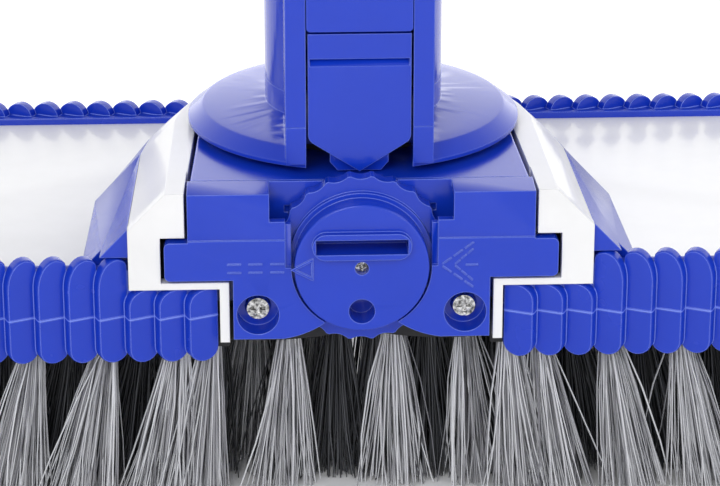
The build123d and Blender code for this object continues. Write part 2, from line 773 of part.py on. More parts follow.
def hump_room():
    """The hollow under the hump, seen from above: inside its walls and clear of the wall round the hub."""
    with BuildSketch() as plan:
        add(offset(Polygon(*hump_ridge, align=None, mode=Mode.PRIVATE), amount=-cheek_wall, mode=Mode.PRIVATE))
        add(hub_plan(1.0 + plastic_wall), mode=Mode.SUBTRACT)
        add(folded_hub_plan(1.0 + plastic_wall), mode=Mode.SUBTRACT)
        add(offset(middle_plan(), amount=plastic_wall, mode=Mode.PRIVATE), mode=Mode.SUBTRACT)
    return plan.sketch


def build_deck(side):
    """A wing's white deck: plate, skirt, hinge eye, posts, and the cheek and hump beside the hub."""
    with BuildPart() as deck:
        # cheek and hump, hollow underneath
        with BuildSketch(Plane.XY.offset(deck_z - 1)):
            Polygon(*hump_ridge, align=None)
        extrude(amount=ridge_z - deck_z + 1)
        with BuildSketch(Plane.XY.offset(ridge_z)):
            Polygon(*hump_ridge, align=None)
        with BuildSketch(Plane.XY.offset(hump_z)):
            Polygon(*hump_crown, align=None)
        loft(ruled=True)
        with BuildSketch(Plane.XY.offset(deck_z - 1)):
            add(hump_room())
        extrude(amount=ridge_z - deck_z - 1, mode=Mode.SUBTRACT)
        with BuildSketch(Plane.XY.offset(hub_floor_z - 10)):
            add(rear_trim())
        extrude(amount=60, mode=Mode.SUBTRACT)
        with BuildSketch(front_plane(cheek_front_y + cheek_wall + 0.5)):
            with Locations((ear_half + cheek_gap - 10, (ear_top_z + ear_bottom_z) / 2)):
                Rectangle(20, ear_top_z - ear_bottom_z + 2 * cheek_gap)
        extrude(amount=10, mode=Mode.SUBTRACT)
        # plate
        with BuildSketch(Plane.XY.offset(deck_under_z)):
            add(wing_ground())
            with Locations((24, -50)):
                Rectangle(50.4, 27, mode=Mode.SUBTRACT)
            with Locations((6, -22)):
                Rectangle(10, 70, mode=Mode.SUBTRACT)
        extrude(amount=deck_thickness)
        # skirt down to the block, along the front, the end and the rear
        with BuildSketch(Plane.XY.offset(block_top_z)):
            add(wing_ground())
            add(offset(wing_ground(), amount=-3.0, mode=Mode.PRIVATE), mode=Mode.SUBTRACT)
            with Locations((0, -10)):
                Rectangle(99, 121, mode=Mode.SUBTRACT)
            with Locations((0, 40)):
                Rectangle(76, 46, mode=Mode.SUBTRACT)
        extrude(amount=deck_under_z - block_top_z)
        with BuildSketch(Plane.XY.offset(block_top_z)):
            with Locations(*block_screw_places):
                Circle(post_radius)
        extrude(amount=deck_under_z - block_top_z)
        # hinge eye
        eye_bottom_z = left_sector_z if side > 0 else deck_z - 4
        with BuildSketch(Plane.XY.offset(eye_bottom_z)):
            with Locations((pivot_x, pivot_y)):
                Circle(eye_radius)
        extrude(amount=deck_z - eye_bottom_z)
        # front wall of the cheek with the cut-out of the cover's ear, and the leg beside the cover
        with BuildSketch(front_plane(cheek_front_y + cheek_wall)):
            Polygon((leg_inner_x, cover_bottom_z - 1.4), (leg_outer_x, cover_bottom_z - 1.4),
                    (leg_outer_x, short_fin_top_z + 0.2), (66, short_fin_top_z + 0.2), (66, ridge_z),
                    (55.4, hump_z), (50.0, hump_z), (50.0, ear_top_z + cheek_gap),
                    (ear_half + cheek_gap, ear_top_z + cheek_gap), (ear_half + cheek_gap, ear_bottom_z - cheek_gap),
                    (leg_inner_x, ear_bottom_z - cheek_gap), align=None)
        extrude(amount=cheek_wall)
        with BuildSketch(Plane.XY.offset(short_fin_top_z + 0.2)):
            with Locations((58, (cheek_front_y + wing_front_y) / 2 + 1)):
                Rectangle(16, wing_front_y - cheek_front_y + 2)
        extrude(amount=ear_bottom_z - cheek_gap - short_fin_top_z - 0.2)
        # bush seat and screw pilots
        with BuildSketch(Plane.XY.offset(block_top_z)):
            with Locations((pivot_x, pivot_y)):
                Circle(pin_radius + bush_wall)
            with Locations(*block_screw_places):
                Circle(2.0)
        extrude(amount=deck_z - block_top_z - 2, mode=Mode.SUBTRACT)
        with BuildSketch(Plane.XY.offset(block_top_z)):
            with Locations((pivot_x, pivot_y)):
                Circle(pin_radius + bush_wall)
        extrude(amount=20, mode=Mode.SUBTRACT)
        # opening under the hump
        with BuildSketch(Plane.XY.offset(deck_under_z - 1)):
            add(hump_room())
            with Locations((hump_inner_x, 0)):
                Rectangle(70, 200, mode=Mode.SUBTRACT)
            with Locations((55, 38)):
                Rectangle(60, 30, mode=Mode.SUBTRACT)
        extrude(amount=deck_thickness + 2, mode=Mode.SUBTRACT)
    return deck


right_wing_deck = build_deck(1)
left_wing_deck = mirrored(build_deck(-1))

# ---------------------------------------------------------------- flank cover on each hump's outer slope
with BuildPart() as right_flank_cover:
    with BuildSketch(Plane.XY.offset(deck_z)):
        Polygon(*hump_base, align=None)
    with BuildSketch(Plane.XY.offset(ridge_z)):
        Polygon(*hump_ridge, align=None)
    loft(ruled=True)
    with BuildSketch(Plane.XY.offset(deck_z)):
        add(offset(Polygon(*hump_ridge, align=None, mode=Mode.PRIVATE), amount=0.15, mode=Mode.PRIVATE))
        add(rear_trim())
    extrude(amount=40, mode=Mode.SUBTRACT)
    with BuildSketch(front_plane(cheek_front_y + 1.8)):
        with Locations((70, 85)):
            Rectangle(40, 40)
    extrude(amount=4, mode=Mode.SUBTRACT)
    # it rests on the deck behind the bumper and stands just clear of the fins in front
    with BuildSketch(front_plane(wing_front_y + 0.1)):
        with Locations((75, crest_z + 0.4 - 10)):
            Rectangle(40, 20)
    extrude(amount=20, mode=Mode.SUBTRACT)

# ---------------------------------------------------------------- bumper: a ledge with overlapping louvre fins
fin_width = 8.9
fin_tilt = 17.0
fin_thickness = 3.6
band_front = 5.0
front_run = half_span - corner_radius - wing_inner_x
corner_run = corner_radius * pi / 2
end_run = rear_y - front_y - 2 * corner_radius


def bumper_place(travel):
    """Where the bumper's outer face is after a travel from its front inner end: x, y and facing angle."""
    if travel <= front_run:
        return wing_inner_x + travel, front_y, -90.0
    travel -= front_run
    if travel <= corner_run:
        turn = travel / corner_radius
        return (half_span - corner_radius + corner_radius * sin(turn),
                front_y + corner_radius - corner_radius * cos(turn), -90 + degrees(turn))
    travel -= corner_run
    if travel <= end_run:
        return half_span, front_y + corner_radius + travel, 0.0
    travel -= end_run
    if travel <= corner_run:
        turn = travel / corner_radius
        return (half_span - corner_radius + corner_radius * cos(turn),
                rear_y - corner_radius + corner_radius * sin(turn), degrees(turn))
    travel -= corner_run
    return half_span - corner_radius - travel, rear_y, 90.0


bumper_run = 2 * front_run + 2 * corner_run + end_run
bumper_fins = round(bumper_run / fin_pitch)


def outer_plan(inset):
    """The wing's outer outline, pulled in by inset, cut straight at the bumper's inner end."""
    with BuildSketch() as plan:
        width = half_span - wing_inner_x + inset
        with Locations(((half_span + wing_inner_x - inset) / 2 - inset / 2, (front_y + rear_y) / 2)):
            Rectangle(width, rear_y - front_y - 2 * inset)
        fillet(plan.vertices().group_by(Axis.X)[-1], radius=corner_radius - inset)
        with Locations((wing_inner_x - 20, 0)):
            Rectangle(40, 200, mode=Mode.SUBTRACT)
    return plan.sketch


with BuildPart() as right_bumper:
    with BuildSketch(Plane.XY.offset(fin_bottom_z + 3)):
        add(outer_plan(band_depth - band_front))
        add(offset(wing_ground(), amount=0.05, mode=Mode.PRIVATE), mode=Mode.SUBTRACT)
    extrude(amount=ledge_z - fin_bottom_z - 3)
    for fin in range(bumper_fins):
        x, y, facing = bumper_place((fin + 0.5) * bumper_run / bumper_fins)
        on_front = facing == -90.0
        short = on_front and fin < short_fin_count
        height = short_fin_height if short else fin_height
        lean = -fin_tilt if y < 0 or abs(facing) < 1 else fin_tilt
        sunk = 1.4
        with BuildSketch(Plane(origin=(x - sunk * cos(radians(facing)), y - sunk * sin(radians(facing)),
                                       fin_bottom_z + height / 2),
                               x_dir=(-sin(radians(facing + lean)), cos(radians(facing + lean)), 0),
                               z_dir=(cos(radians(facing + lean)), sin(radians(facing + lean)), 0))):
            SlotOverall(height, fin_width, rotation=90)
        extrude(amount=-fin_thickness)
    # the deck stands inside, the cheek's wall and leg over the short fins, and nothing passes the outer faces
    with BuildSketch(Plane.XY.offset(fin_bottom_z - 1)):
        add(offset(wing_ground(), amount=0.05, mode=Mode.PRIVATE))
    extrude(amount=40, mode=Mode.SUBTRACT)
    with BuildSketch(front_plane(wing_front_y)):
        Polygon((30, short_fin_top_z + 0.1), (66.15, short_fin_top_z + 0.1), (66.15, crest_z + 5),
                (30, crest_z + 5), align=None)
        Polygon((30, 40), (wing_inner_x, 40), (wing_inner_x, 100), (30, 100), align=None)
    extrude(amount=20, mode=Mode.SUBTRACT)
    with BuildSketch(Plane.XY.offset(fin_bottom_z - 1)):
        Rectangle(1000, 1000)
        add(outer_plan(0.0), mode=Mode.SUBTRACT)
    extrude(amount=40, mode=Mode.SUBTRACT)

# ---------------------------------------------------------------- bristles: one plain slab for each row of tufts
rear_limit_y = wing_rear_y - row_root / 2 - 1
row_count = 9
row_step = (rear_limit_y - (wing_front_y + row_root / 2 + 1)) / (row_count - 1)


def build_bristles(first):
    """Every second row of the right wing, as slabs that widen from the block down to the tips."""
    with BuildPart() as rows:
        for row in range(first, row_count, 2):
            y = wing_front_y + row_root / 2 + 1 + row * row_step
            start_x = max(leg_inner_x + 1 if row == 0 else centre_gap + 1.5, fold_clear_x(y + row_tip / 2) + 1.5)
            start_x = max(start_x, 6.0 if row == 1 else 0)
            with BuildSketch(Plane.YZ.offset(start_x)):
                Polygon((y - row_root / 2, bristle_length), (y + row_root / 2, bristle_length),
                        (y + row_tip / 2, 0), (y - row_tip / 2, 0), align=None)
            extrude(amount=wing_end_x - 1.5 - start_x)
        if first == 0:
            # the front row under the hub stands further back, behind the dial
            with BuildSketch(Plane.YZ.offset(centre_gap + 1.5)):
                Polygon((-52.0, bristle_length), (-46.7, bristle_length), (-49.8, 0), (-56.5, 0), align=None)
            extrude(amount=leg_inner_x - 4 - centre_gap - 1.5)
    return rows


right_silver_bristles = build_bristles(0)
right_charcoal_bristles = build_bristles(1)

# ---------------------------------------------------------------- left wing twins
left_brush_block = mirrored(right_brush_block)
left_block_screws = mirrored(right_block_screws)
left_flank_cover = mirrored(right_flank_cover)
left_bumper = mirrored(right_bumper)
left_silver_bristles = mirrored(right_silver_bristles)
left_charcoal_bristles = mirrored(right_charcoal_bristles)

# ---------------------------------------------------------------- screws of the front cover
screw_seat_y = cover_front_y + well_depth

with BuildPart() as cover_screws:
    for screw_x in (-cover_boss_x, cover_boss_x):
        with BuildSketch(front_plane(screw_seat_y)):
            with Locations((screw_x, cover_boss_z)):
                Circle(3.8)
        extrude(amount=2.3, taper=15)
        with BuildSketch(front_plane(screw_seat_y + 9)):
            with Locations((screw_x, cover_boss_z)):
                Circle(screw_radius)
        extrude(amount=9)
        with BuildSketch(front_plane(screw_seat_y - 1.0)):
            with Locations((screw_x, cover_boss_z)):
                Rectangle(4.2, 1.0)
                Rectangle(1.0, 4.2)
        extrude(amount=2, mode=Mode.SUBTRACT)

# ---------------------------------------------------------------- turntable: flange, tube, pole sleeve and cheeks
swivel_axis = Axis((0, swivel_y, 0), (0, 0, 1))
flange_top_z = flange_z + flange_height
web_top_z = spigot_top_z - slide_gap
socket_top_z = flange_z + socket_height
cheek_bottom_z = dial_z + ring_radius + part_gap
cheek_top_z = flange_z + 70.0
cheek_half = cheek_half_gap + cheek_thickness
rim_edge = 1.2
chamber_radius = pole_radius + 0.8
chamber_top_z = spigot_top_z + 10.7

with BuildPart() as pole_socket:
    with BuildSketch(Plane.XZ.offset(-swivel_y)):
        with BuildLine():
            Polyline((spigot_radius + running_gap, flange_z), (31, flange_z), (31, flange_z + 3),
                     (flange_top_radius - 1.5, flange_z + 3), (flange_top_radius + 1, flange_z),
                     (flange_radius, flange_z), (flange_radius, flange_z + rim_edge),
                     (flange_top_radius, flange_top_z), (tube_radius, flange_top_z + 1.6),
                     (tube_radius, socket_top_z), (pole_radius, socket_top_z), (pole_radius, web_top_z),
                     (spigot_radius + running_gap, web_top_z), (spigot_radius + running_gap, flange_z))
        make_face()
    revolve(axis=swivel_axis)
    # cheeks in front of the tube
    with BuildSketch(Plane.YZ.offset(-cheek_half)):
        Polygon((swivel_y - cheek_reach, cheek_bottom_z), (swivel_y - cheek_reach, cheek_top_z),
                (swivel_y - tube_radius + 1, cheek_top_z + 26), (swivel_y - 17, cheek_top_z + 26),
                (swivel_y - 17, cheek_bottom_z), align=None)
    extrude(amount=2 * cheek_half)
    # hollow between tube and pole sleeve, with ribs left standing
    with BuildSketch(Plane.XY.offset(web_top_z + 4)):
        with Locations((0, swivel_y)):
            Circle(tube_radius - tube_wall)
            Circle(pole_radius + sleeve_wall, mode=Mode.SUBTRACT)
            with PolarLocations(0, 6, 30):
                with Locations((tube_radius - tube_wall - 2, 0)):
                    Rectangle(9, 2.4, mode=Mode.SUBTRACT)
    extrude(amount=socket_top_z - web_top_z - 7, mode=Mode.SUBTRACT)
    # channel between the cheeks
    with BuildSketch(Plane.XY.offset(flange_z - 1)):
        with Locations((0, swivel_y - tube_radius - 20)):
            Rectangle(2 * cheek_half_gap, 40)
    extrude(amount=200, mode=Mode.SUBTRACT)
    # the pole's bore through the cheeks' root
    with BuildSketch(Plane.XY.offset(web_top_z)):
        with Locations((0, swivel_y)):
            Circle(pole_radius)
    extrude(amount=200, mode=Mode.SUBTRACT)
    # wider chamber at the bore's foot, round the swivel washer and the bolt's head
    with BuildSketch(Plane.XY.offset(web_top_z)):
        with Locations((0, swivel_y)):
            Circle(chamber_radius)
    extrude(amount=chamber_top_z - web_top_z, mode=Mode.SUBTRACT)
    # latch pin and pole screw holes
    latch_pin_y = swivel_y - 41.0
    latch_pin_z = crest_z + 45.0
    with BuildSketch(Plane.YZ.offset(-cheek_half)):
        with Locations((latch_pin_y, latch_pin_z)):
            Circle(2.0)
    extrude(amount=2 * cheek_half, mode=Mode.SUBTRACT)
    pole_screw_z = socket_top_z - 20
    with BuildSketch(Plane.XZ.offset(-swivel_y - 15)):
        with Locations((0, pole_screw_z)):
            Circle(2.0)
    extrude(amount=-15, mode=Mode.SUBTRACT)
    # softened edges: flange rim, flange crown, cheek fronts
    fillet(pole_socket.edges().filter_by(lambda edge: abs(edge.center().Z - flange_top_z) < 0.01
                                         and edge.length > 60), radius=1.2)

# the seam between the turning base and the socket is level with the web over the spigot
with BuildPart() as turntable:
    add(pole_socket.part)
    split(bisect_by=Plane.XY.offset(web_top_z), keep=Keep.BOTTOM)

with BuildPart() as pole_tube:
    add(pole_socket.part)
    split(bisect_by=Plane.XY.offset(web_top_z), keep=Keep.TOP)

# ---------------------------------------------------------------- channel cover above the latch
latch_top_z = crest_z + 62.0
panel_bottom_z = latch_top_z + 0.8
panel_front_y = swivel_y - cheek_reach - 0.4

with BuildPart() as channel_cover:
    with BuildSketch(front_plane(panel_front_y + 4)):
        with Locations((0, (panel_bottom_z + cheek_top_z) / 2)):
            RectangleRounded(2 * cheek_half_gap - 0.4, cheek_top_z - panel_bottom_z, 1.2)
        with Locations((0, cheek_top_z - 4)):
            Rectangle(2 * cheek_half_gap - 0.4, 8)
    extrude(amount=4)
    with BuildSketch(Plane.YZ.offset(-cheek_half_gap + 0.2)):
        Polygon((panel_front_y + 0.6, cheek_top_z), (panel_front_y + 4, cheek_top_z - 3),
                (swivel_y - tube_radius - 0.2, cheek_top_z + 22), (swivel_y - tube_radius - 0.2, cheek_top_z + 25.5),
                align=None)
    extrude(amount=2 * cheek_half_gap - 0.4)

# ---------------------------------------------------------------- thumb latch with its spring and pin
latch_front_y = swivel_y - cheek_reach + 0.6
latch_half = 14.6
latch_plate = 4.0
recess_depth = 2.8
recess_ramp = 2.2
recess_rise = 6.6
latch_back_y = latch_front_y + latch_plate
tip_z = crest_z + 21.1
shoulder_z = crest_z + 30.5
tooth_inner_y = swivel_y - 43.2

with BuildPart() as thumb_latch:
    with BuildSketch(front_plane(latch_back_y)):
        Polygon((-latch_half, shoulder_z), (0, tip_z), (latch_half, shoulder_z), (latch_half, latch_top_z),
                (-latch_half, latch_top_z), align=None)
    extrude(amount=latch_plate)
    fillet(thumb_latch.edges().filter_by(Axis.Y).group_by(Axis.Z)[1], radius=3.0)
    # scooped thumb recess with an arched head, and a ramp up to the face at its foot
    recess_foot_z = crest_z + 52.5
    recess_half = latch_half - 0.5
    with BuildSketch(front_plane(latch_front_y + recess_depth)):
        with Locations((0, recess_foot_z + recess_ramp)):
            with BuildLine():
                Line((-recess_half, 0), (recess_half, 0))
                ThreePointArc((recess_half, 0), (0, recess_rise), (-recess_half, 0))
            make_face()
    extrude(amount=recess_depth + 1, mode=Mode.SUBTRACT)
    with BuildSketch(Plane.YZ.offset(-recess_half)):
        Polygon((latch_front_y, recess_foot_z), (latch_front_y + recess_depth, recess_foot_z + recess_ramp),
                (latch_front_y - 1, recess_foot_z + recess_ramp), (latch_front_y - 1, recess_foot_z), align=None)
    extrude(amount=2 * recess_half, mode=Mode.SUBTRACT)
    # tooth under the tip
    with BuildSketch(front_plane(tooth_inner_y)):
        Polygon((-6.2, hump_z + 0.6), (6.2, hump_z + 0.6), (8.4, hump_z + 3.2), (8.4, hump_z + 12),
                (-8.4, hump_z + 12), (-8.4, hump_z + 3.2), align=None)
    extrude(amount=tooth_inner_y - latch_back_y + 1.0)
    # lugs on the pin
    for lug_x in (-12.0, 8.5):
        with BuildSketch(Plane.YZ.offset(lug_x)):
            with Locations((latch_pin_y, latch_pin_z)):
                Circle(4.2)
            with Locations(((latch_pin_y + latch_back_y - 1) / 2, latch_pin_z)):
                Rectangle(latch_pin_y - latch_back_y + 1, 8.4)
        extrude(amount=3.5)
    with BuildSketch(Plane.YZ.offset(-latch_half)):
        with Locations((latch_pin_y, latch_pin_z)):
            Circle(2.0 + running_gap)
    extrude(amount=2 * latch_half, mode=Mode.SUBTRACT)

with BuildPart() as latch_pin:
    with BuildSketch(Plane.YZ.offset(-cheek_half + 0.5)):
        with Locations((latch_pin_y, latch_pin_z)):
            Circle(2.0)
    extrude(amount=2 * cheek_half - 1)

spring_wire = 1.2
spring_turns = 8
spring_pitch = 1.16
spring_mean = latch_pin_y - latch_back_y - spring_wire / 2 - 0.05

with BuildPart() as latch_spring:
    # close-wound turns as one corrugated sleeve
    with BuildSketch(Plane.XY.offset(latch_pin_z)):
        for turn in range(spring_turns):
            turn_x = (turn - (spring_turns - 1) / 2) * spring_pitch
            with Locations((turn_x, latch_pin_y - spring_mean)):
                Circle(spring_wire / 2)
        with Locations((0, latch_pin_y - spring_mean)):
            Rectangle((spring_turns - 1) * spring_pitch, spring_wire * 0.6)
    revolve(axis=Axis((0, latch_pin_y, latch_pin_z), (1, 0, 0)))
    leg_x = (spring_turns - 1) / 2 * spring_pitch
    with BuildSketch(Plane.XZ.offset(-latch_pin_y)):
        with Locations((leg_x, latch_pin_z - spring_mean)):
            Circle(spring_wire / 2 - 0.05)
    extrude(amount=-(swivel_y - tube_radius - 0.5 - latch_pin_y))
    with BuildSketch(Plane.XY.offset(latch_pin_z)):
        with Locations((-leg_x, latch_pin_y - spring_mean)):
            Circle(spring_wire / 2 - 0.05)
    extrude(amount=13)

# ---------------------------------------------------------------- swivel bolt, washer, nut and friction ring
washer_height = 2.0

with BuildPart() as swivel_washer:
    with BuildSketch(Plane.XY.offset(spigot_top_z)):
        with Locations((0, swivel_y)):
            Circle(pole_radius - 0.6)
            Circle(swivel_bolt_radius + 0.3, mode=Mode.SUBTRACT)
    extrude(amount=washer_height)

with BuildPart() as swivel_bolt:
    with BuildSketch(Plane.XY.offset(spigot_top_z + washer_height)):
        with Locations((0, swivel_y)):
            RegularPolygon(7.3, 6)
    extrude(amount=5.3)
    with BuildSketch(Plane.XY.offset(hub_roof_z - 9)):
        with Locations((0, swivel_y)):
            Circle(swivel_bolt_radius)
    extrude(amount=spigot_top_z + washer_height - hub_roof_z + 9)

with BuildPart() as swivel_nut:
    with BuildSketch(Plane.XY.offset(hub_roof_z - 6.5)):
        with Locations((0, swivel_y)):
            RegularPolygon(7.3, 6)
            Circle(swivel_bolt_radius + 0.02, mode=Mode.SUBTRACT)
    extrude(amount=6.5)

with BuildPart() as friction_ring:
    with BuildSketch(Plane.XY.offset(hump_z)):
        with Locations((0, swivel_y)):
            Circle(29)
            Circle(18, mode=Mode.SUBTRACT)
    extrude(amount=flange_gap - slide_gap)

with BuildPart() as pole_screw:
    with BuildSketch(Plane.XZ.offset(-swivel_y - tube_radius)):
        with Locations((0, pole_screw_z)):
            Circle(4)
    extrude(amount=-2.6)
    with BuildSketch(Plane.XZ.offset(-swivel_y - pole_radius - 0.4)):
        with Locations((0, pole_screw_z)):
            Circle(1.98)
    extrude(amount=-(tube_radius - pole_radius))
    with BuildSketch(Plane.XZ.offset(-swivel_y - tube_radius - 1.4)):
        with Locations((0, pole_screw_z)):
            Rectangle(4.6, 0.9)
            Rectangle(0.9, 4.6)
    extrude(amount=-3, mode=Mode.SUBTRACT)

# ---------------------------------------------------------------- write every piece
pieces = {
    "hub_body": hub_body,
    "hub_base": hub_base,
    "front_cover": front_cover,
    "cover_screws": cover_screws,
    "dial": dial,
    "dial_screw": dial_screw,
    "dial_washer": dial_washer,
    "drive_pinion": drive_pinion,
    "right_rack": right_rack,
    "left_rack": left_rack,
    "right_hinge_pin": right_hinge_pin,
    "left_hinge_pin": left_hinge_pin,
    "right_hinge_bush": right_hinge_bush,
    "left_hinge_bush": left_hinge_bush,
    "right_sector_gear": right_sector_gear,
    "left_sector_gear": left_sector_gear,
    "right_wing_deck": right_wing_deck,
    "left_wing_deck": left_wing_deck,
    "right_flank_cover": right_flank_cover,
    "left_flank_cover": left_flank_cover,
    "right_bumper": right_bumper,
    "left_bumper": left_bumper,
    "right_brush_block": right_brush_block,
    "left_brush_block": left_brush_block,
    "right_block_screws": right_block_screws,
    "left_block_screws": left_block_screws,
    "right_silver_bristles": right_silver_bristles,
    "left_silver_bristles": left_silver_bristles,
    "right_charcoal_bristles": right_charcoal_bristles,
    "left_charcoal_bristles": left_charcoal_bristles,
    "turntable": turntable,
    "pole_tube": pole_tube,
    "channel_cover": channel_cover,
    "pole_screw": pole_screw,
    "latch_pin": latch_pin,
    "thumb_latch": thumb_latch,
    "latch_spring": latch_spring,
    "swivel_washer": swivel_washer,
    "swivel_bolt": swivel_bolt,
    "swivel_nut": swivel_nut,
    "friction_ring": friction_ring,
}

for name, piece in pieces.items():
    piece.part.label = name
    export_step(piece.part, f"parts/{name}.step")

print("fold angle", round(fold_angle, 3), "rack travel", round(rack_travel, 3))
print("span", round(2 * half_span, 1), "depth", round(rear_y - front_y, 1), "height", round(socket_top_z, 1))
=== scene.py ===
# %% [markdown]
# # Pool wall brush head
# The working model of this brush head was made as solid parts. This lesson gives it its looks: moulded
# plastic, louvred bumpers and thousands of nylon filaments. First the finished parts are loaded as a fixed
# frame, and every new piece is placed from them.

# %% Load the frame
import json
import math

import bmesh
import bpy
import numpy as np
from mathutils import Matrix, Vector

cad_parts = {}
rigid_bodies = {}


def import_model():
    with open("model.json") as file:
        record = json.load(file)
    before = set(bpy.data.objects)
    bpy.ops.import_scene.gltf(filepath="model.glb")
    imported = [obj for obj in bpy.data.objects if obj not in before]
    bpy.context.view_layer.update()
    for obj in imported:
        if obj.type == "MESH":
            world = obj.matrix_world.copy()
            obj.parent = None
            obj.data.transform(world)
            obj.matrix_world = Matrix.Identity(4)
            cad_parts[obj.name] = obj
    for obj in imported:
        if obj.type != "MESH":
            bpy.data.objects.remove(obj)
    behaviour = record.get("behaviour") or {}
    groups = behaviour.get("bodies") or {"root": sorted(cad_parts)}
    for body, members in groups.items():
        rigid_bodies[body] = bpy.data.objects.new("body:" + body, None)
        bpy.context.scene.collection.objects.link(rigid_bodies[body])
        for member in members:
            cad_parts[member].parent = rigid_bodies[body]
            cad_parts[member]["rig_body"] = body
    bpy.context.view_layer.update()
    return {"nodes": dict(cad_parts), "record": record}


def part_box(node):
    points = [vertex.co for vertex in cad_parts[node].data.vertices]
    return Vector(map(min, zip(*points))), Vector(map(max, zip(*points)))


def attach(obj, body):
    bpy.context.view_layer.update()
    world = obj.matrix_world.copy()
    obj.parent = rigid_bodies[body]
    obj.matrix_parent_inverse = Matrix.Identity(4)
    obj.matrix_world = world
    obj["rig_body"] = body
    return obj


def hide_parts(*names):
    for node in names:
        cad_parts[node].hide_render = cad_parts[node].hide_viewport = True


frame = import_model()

MM = 0.001

# %% [markdown]
# ## The camera
# The head is seen from in front and above, with a long lens that keeps its lines nearly parallel. The camera
# stands a little to the left of the head's middle, and is turned to look at the upper half of the dial.

# %% Camera
LENS = 147.3
SENSOR_WIDTH = 36.0
FARTHEST = 20.0
CAMERA_PLACE = Vector((-32.0, -844.0, 388.2)) * MM
LOOK_AT = Vector((-0.5, -71.0, 84.9)) * MM
camera_data = bpy.data.cameras.new("camera")
camera_data.lens = LENS
camera_data.sensor_width = SENSOR_WIDTH
camera_data.clip_end = FARTHEST
camera = bpy.data.objects.new("camera", camera_data)
bpy.context.scene.collection.objects.link(camera)
camera.location = CAMERA_PLACE
camera.rotation_euler = (LOOK_AT - CAMERA_PLACE).to_track_quat("-Z", "Y").to_euler()
bpy.context.scene.camera = camera
print("camera", round((LOOK_AT - CAMERA_PLACE).length / MM), "mm away")

# %% [markdown]
# ## Shader maths as expressions
# Materials are easier to read as formulas than as wires. One small class wraps a socket, so that adding or
# multiplying two of them adds the matching Math node. A material's other nodes all come from one method.

# %% Sockets with operators
class Socket:
    """A node's output that can be used in sums and products."""

    def __init__(self, recipe, output):
        self.recipe = recipe
        self.output = output

    def _math(self, operation, first, second):
        return self.recipe.node("ShaderNodeMath", {"operation": operation}, {0: first, 1: second})

    def __add__(self, other):
        return self._math("ADD", self, other)

    __radd__ = __add__

    def __sub__(self, other):
        return self._math("SUBTRACT", self, other)

    def __rsub__(self, other):
        return self._math("SUBTRACT", other, self)

    def __mul__(self, other):
        return self._math("MULTIPLY", self, other)

    __rmul__ = __mul__

    def __abs__(self):
        return self._math("ABSOLUTE", self, 0.0)

    def clamp(self, low=0.0, high=1.0):
        return self.recipe.node("ShaderNodeClamp", {}, {"Value": self, "Min": low, "Max": high})


EDGE_SAMPLES = 6
EDGE_GAIN = 6.0


class Recipe:
    """A material's node tree, with its Principled shader ready."""

    def __init__(self, name, **fixed):
        self.material = bpy.data.materials.new(name)
        self.material.use_nodes = True
        self.tree = self.material.node_tree
        self.shader = self.tree.nodes["Principled BSDF"]
        self.set(**fixed)

    @classmethod
    def of_tree(cls, tree):
        """A recipe for a tree that has no Principled shader, such as the world's."""
        recipe = cls.__new__(cls)
        recipe.tree = tree
        return recipe

    def node(self, kind, settings, values, output=0):
        """Adds a node: settings first, then its sockets' values or links. Returns the chosen output."""
        made = self.tree.nodes.new(kind)
        for key, value in settings.items():
            setattr(made, key, value)
        for key, value in values.items():
            self.feed(made.inputs[key], value)
        return Socket(self, made.outputs[output])

    def feed(self, socket, value):
        if isinstance(value, Socket):
            self.tree.links.new(value.output, socket)
        else:
            socket.default_value = value

    def set(self, **values):
        """Sets the shader's sockets: Base_Color=... stands for Base Color."""
        for key, value in values.items():
            self.feed(self.shader.inputs[key.replace("_", " ")], value)

    def place(self):
        return self.node("ShaderNodeTexCoord", {}, {}, output="Object")

    def along(self, axis, vector=None):
        """One coordinate of a place or direction."""
        source = self.place() if vector is None else vector
        return self.node("ShaderNodeSeparateXYZ", {}, {"Vector": source}, output=axis)

    def noise(self, scale, detail=3.0, roughness=0.55):
        """A cloudy pattern of about scale lumps to the metre, from 0 to 1."""
        values = {"Vector": self.place(), "Scale": scale, "Detail": detail, "Roughness": roughness}
        return self.node("ShaderNodeTexNoise", {}, values)

    def mix(self, share, first, second):
        """A blend of two colours by share."""
        return self.node("ShaderNodeMix", {"data_type": "RGBA"}, {0: share, 6: first, 7: second}, output=2)

    def bump(self, height, depth, strength=1.0, normal=None):
        """A normal that leans with height's slope, on top of another normal if given."""
        values = {"Height": height, "Distance": depth, "Strength": strength}
        if normal is not None:
            values["Normal"] = normal
        return self.node("ShaderNodeBump", {}, values)

    def attribute(self, name):
        return self.node("ShaderNodeAttribute", {"attribute_name": name}, {}, output="Fac")

    def edge(self, radius):
        """The rounded normal near sharp edges, and how far it turns from the flat one: 0 to 1 on edges."""
        rounded = self.node("ShaderNodeBevel", {"samples": EDGE_SAMPLES}, {"Radius": radius})
        flat = self.node("ShaderNodeNewGeometry", {}, {}, output="Normal")
        along = self.node("ShaderNodeVectorMath", {"operation": "DOT_PRODUCT"},
                          {0: rounded, 1: flat}, output="Value")
        return rounded, ((1 - along) * EDGE_GAIN).clamp()


# %% [markdown]
# ## Floor and light
# A product like this is lit in a white tent. Glossy plastic shows what surrounds it, so a bright wall low
# behind the object gives its top faces a pale sheen, a dimmer ceiling keeps its sloping faces deep in
# colour, and a soft key light from the front keeps the front faces clear. The sky's strength is worked out
# from the direction alone.

# %% Stage
LIT_POINT = Vector((0, 0, 0.08))


def add_light(name, place, size, power):
    """A square area light of a size in metres and a power in watts, turned to the middle of the head."""
    data = bpy.data.lights.new(name, "AREA")
    data.size = size
    data.energy = power
    light = bpy.data.objects.new(name, data)
    light.location = place
    light.rotation_euler = (LIT_POINT - Vector(place)).to_track_quat("-Z", "Y").to_euler()
    bpy.context.scene.collection.objects.link(light)


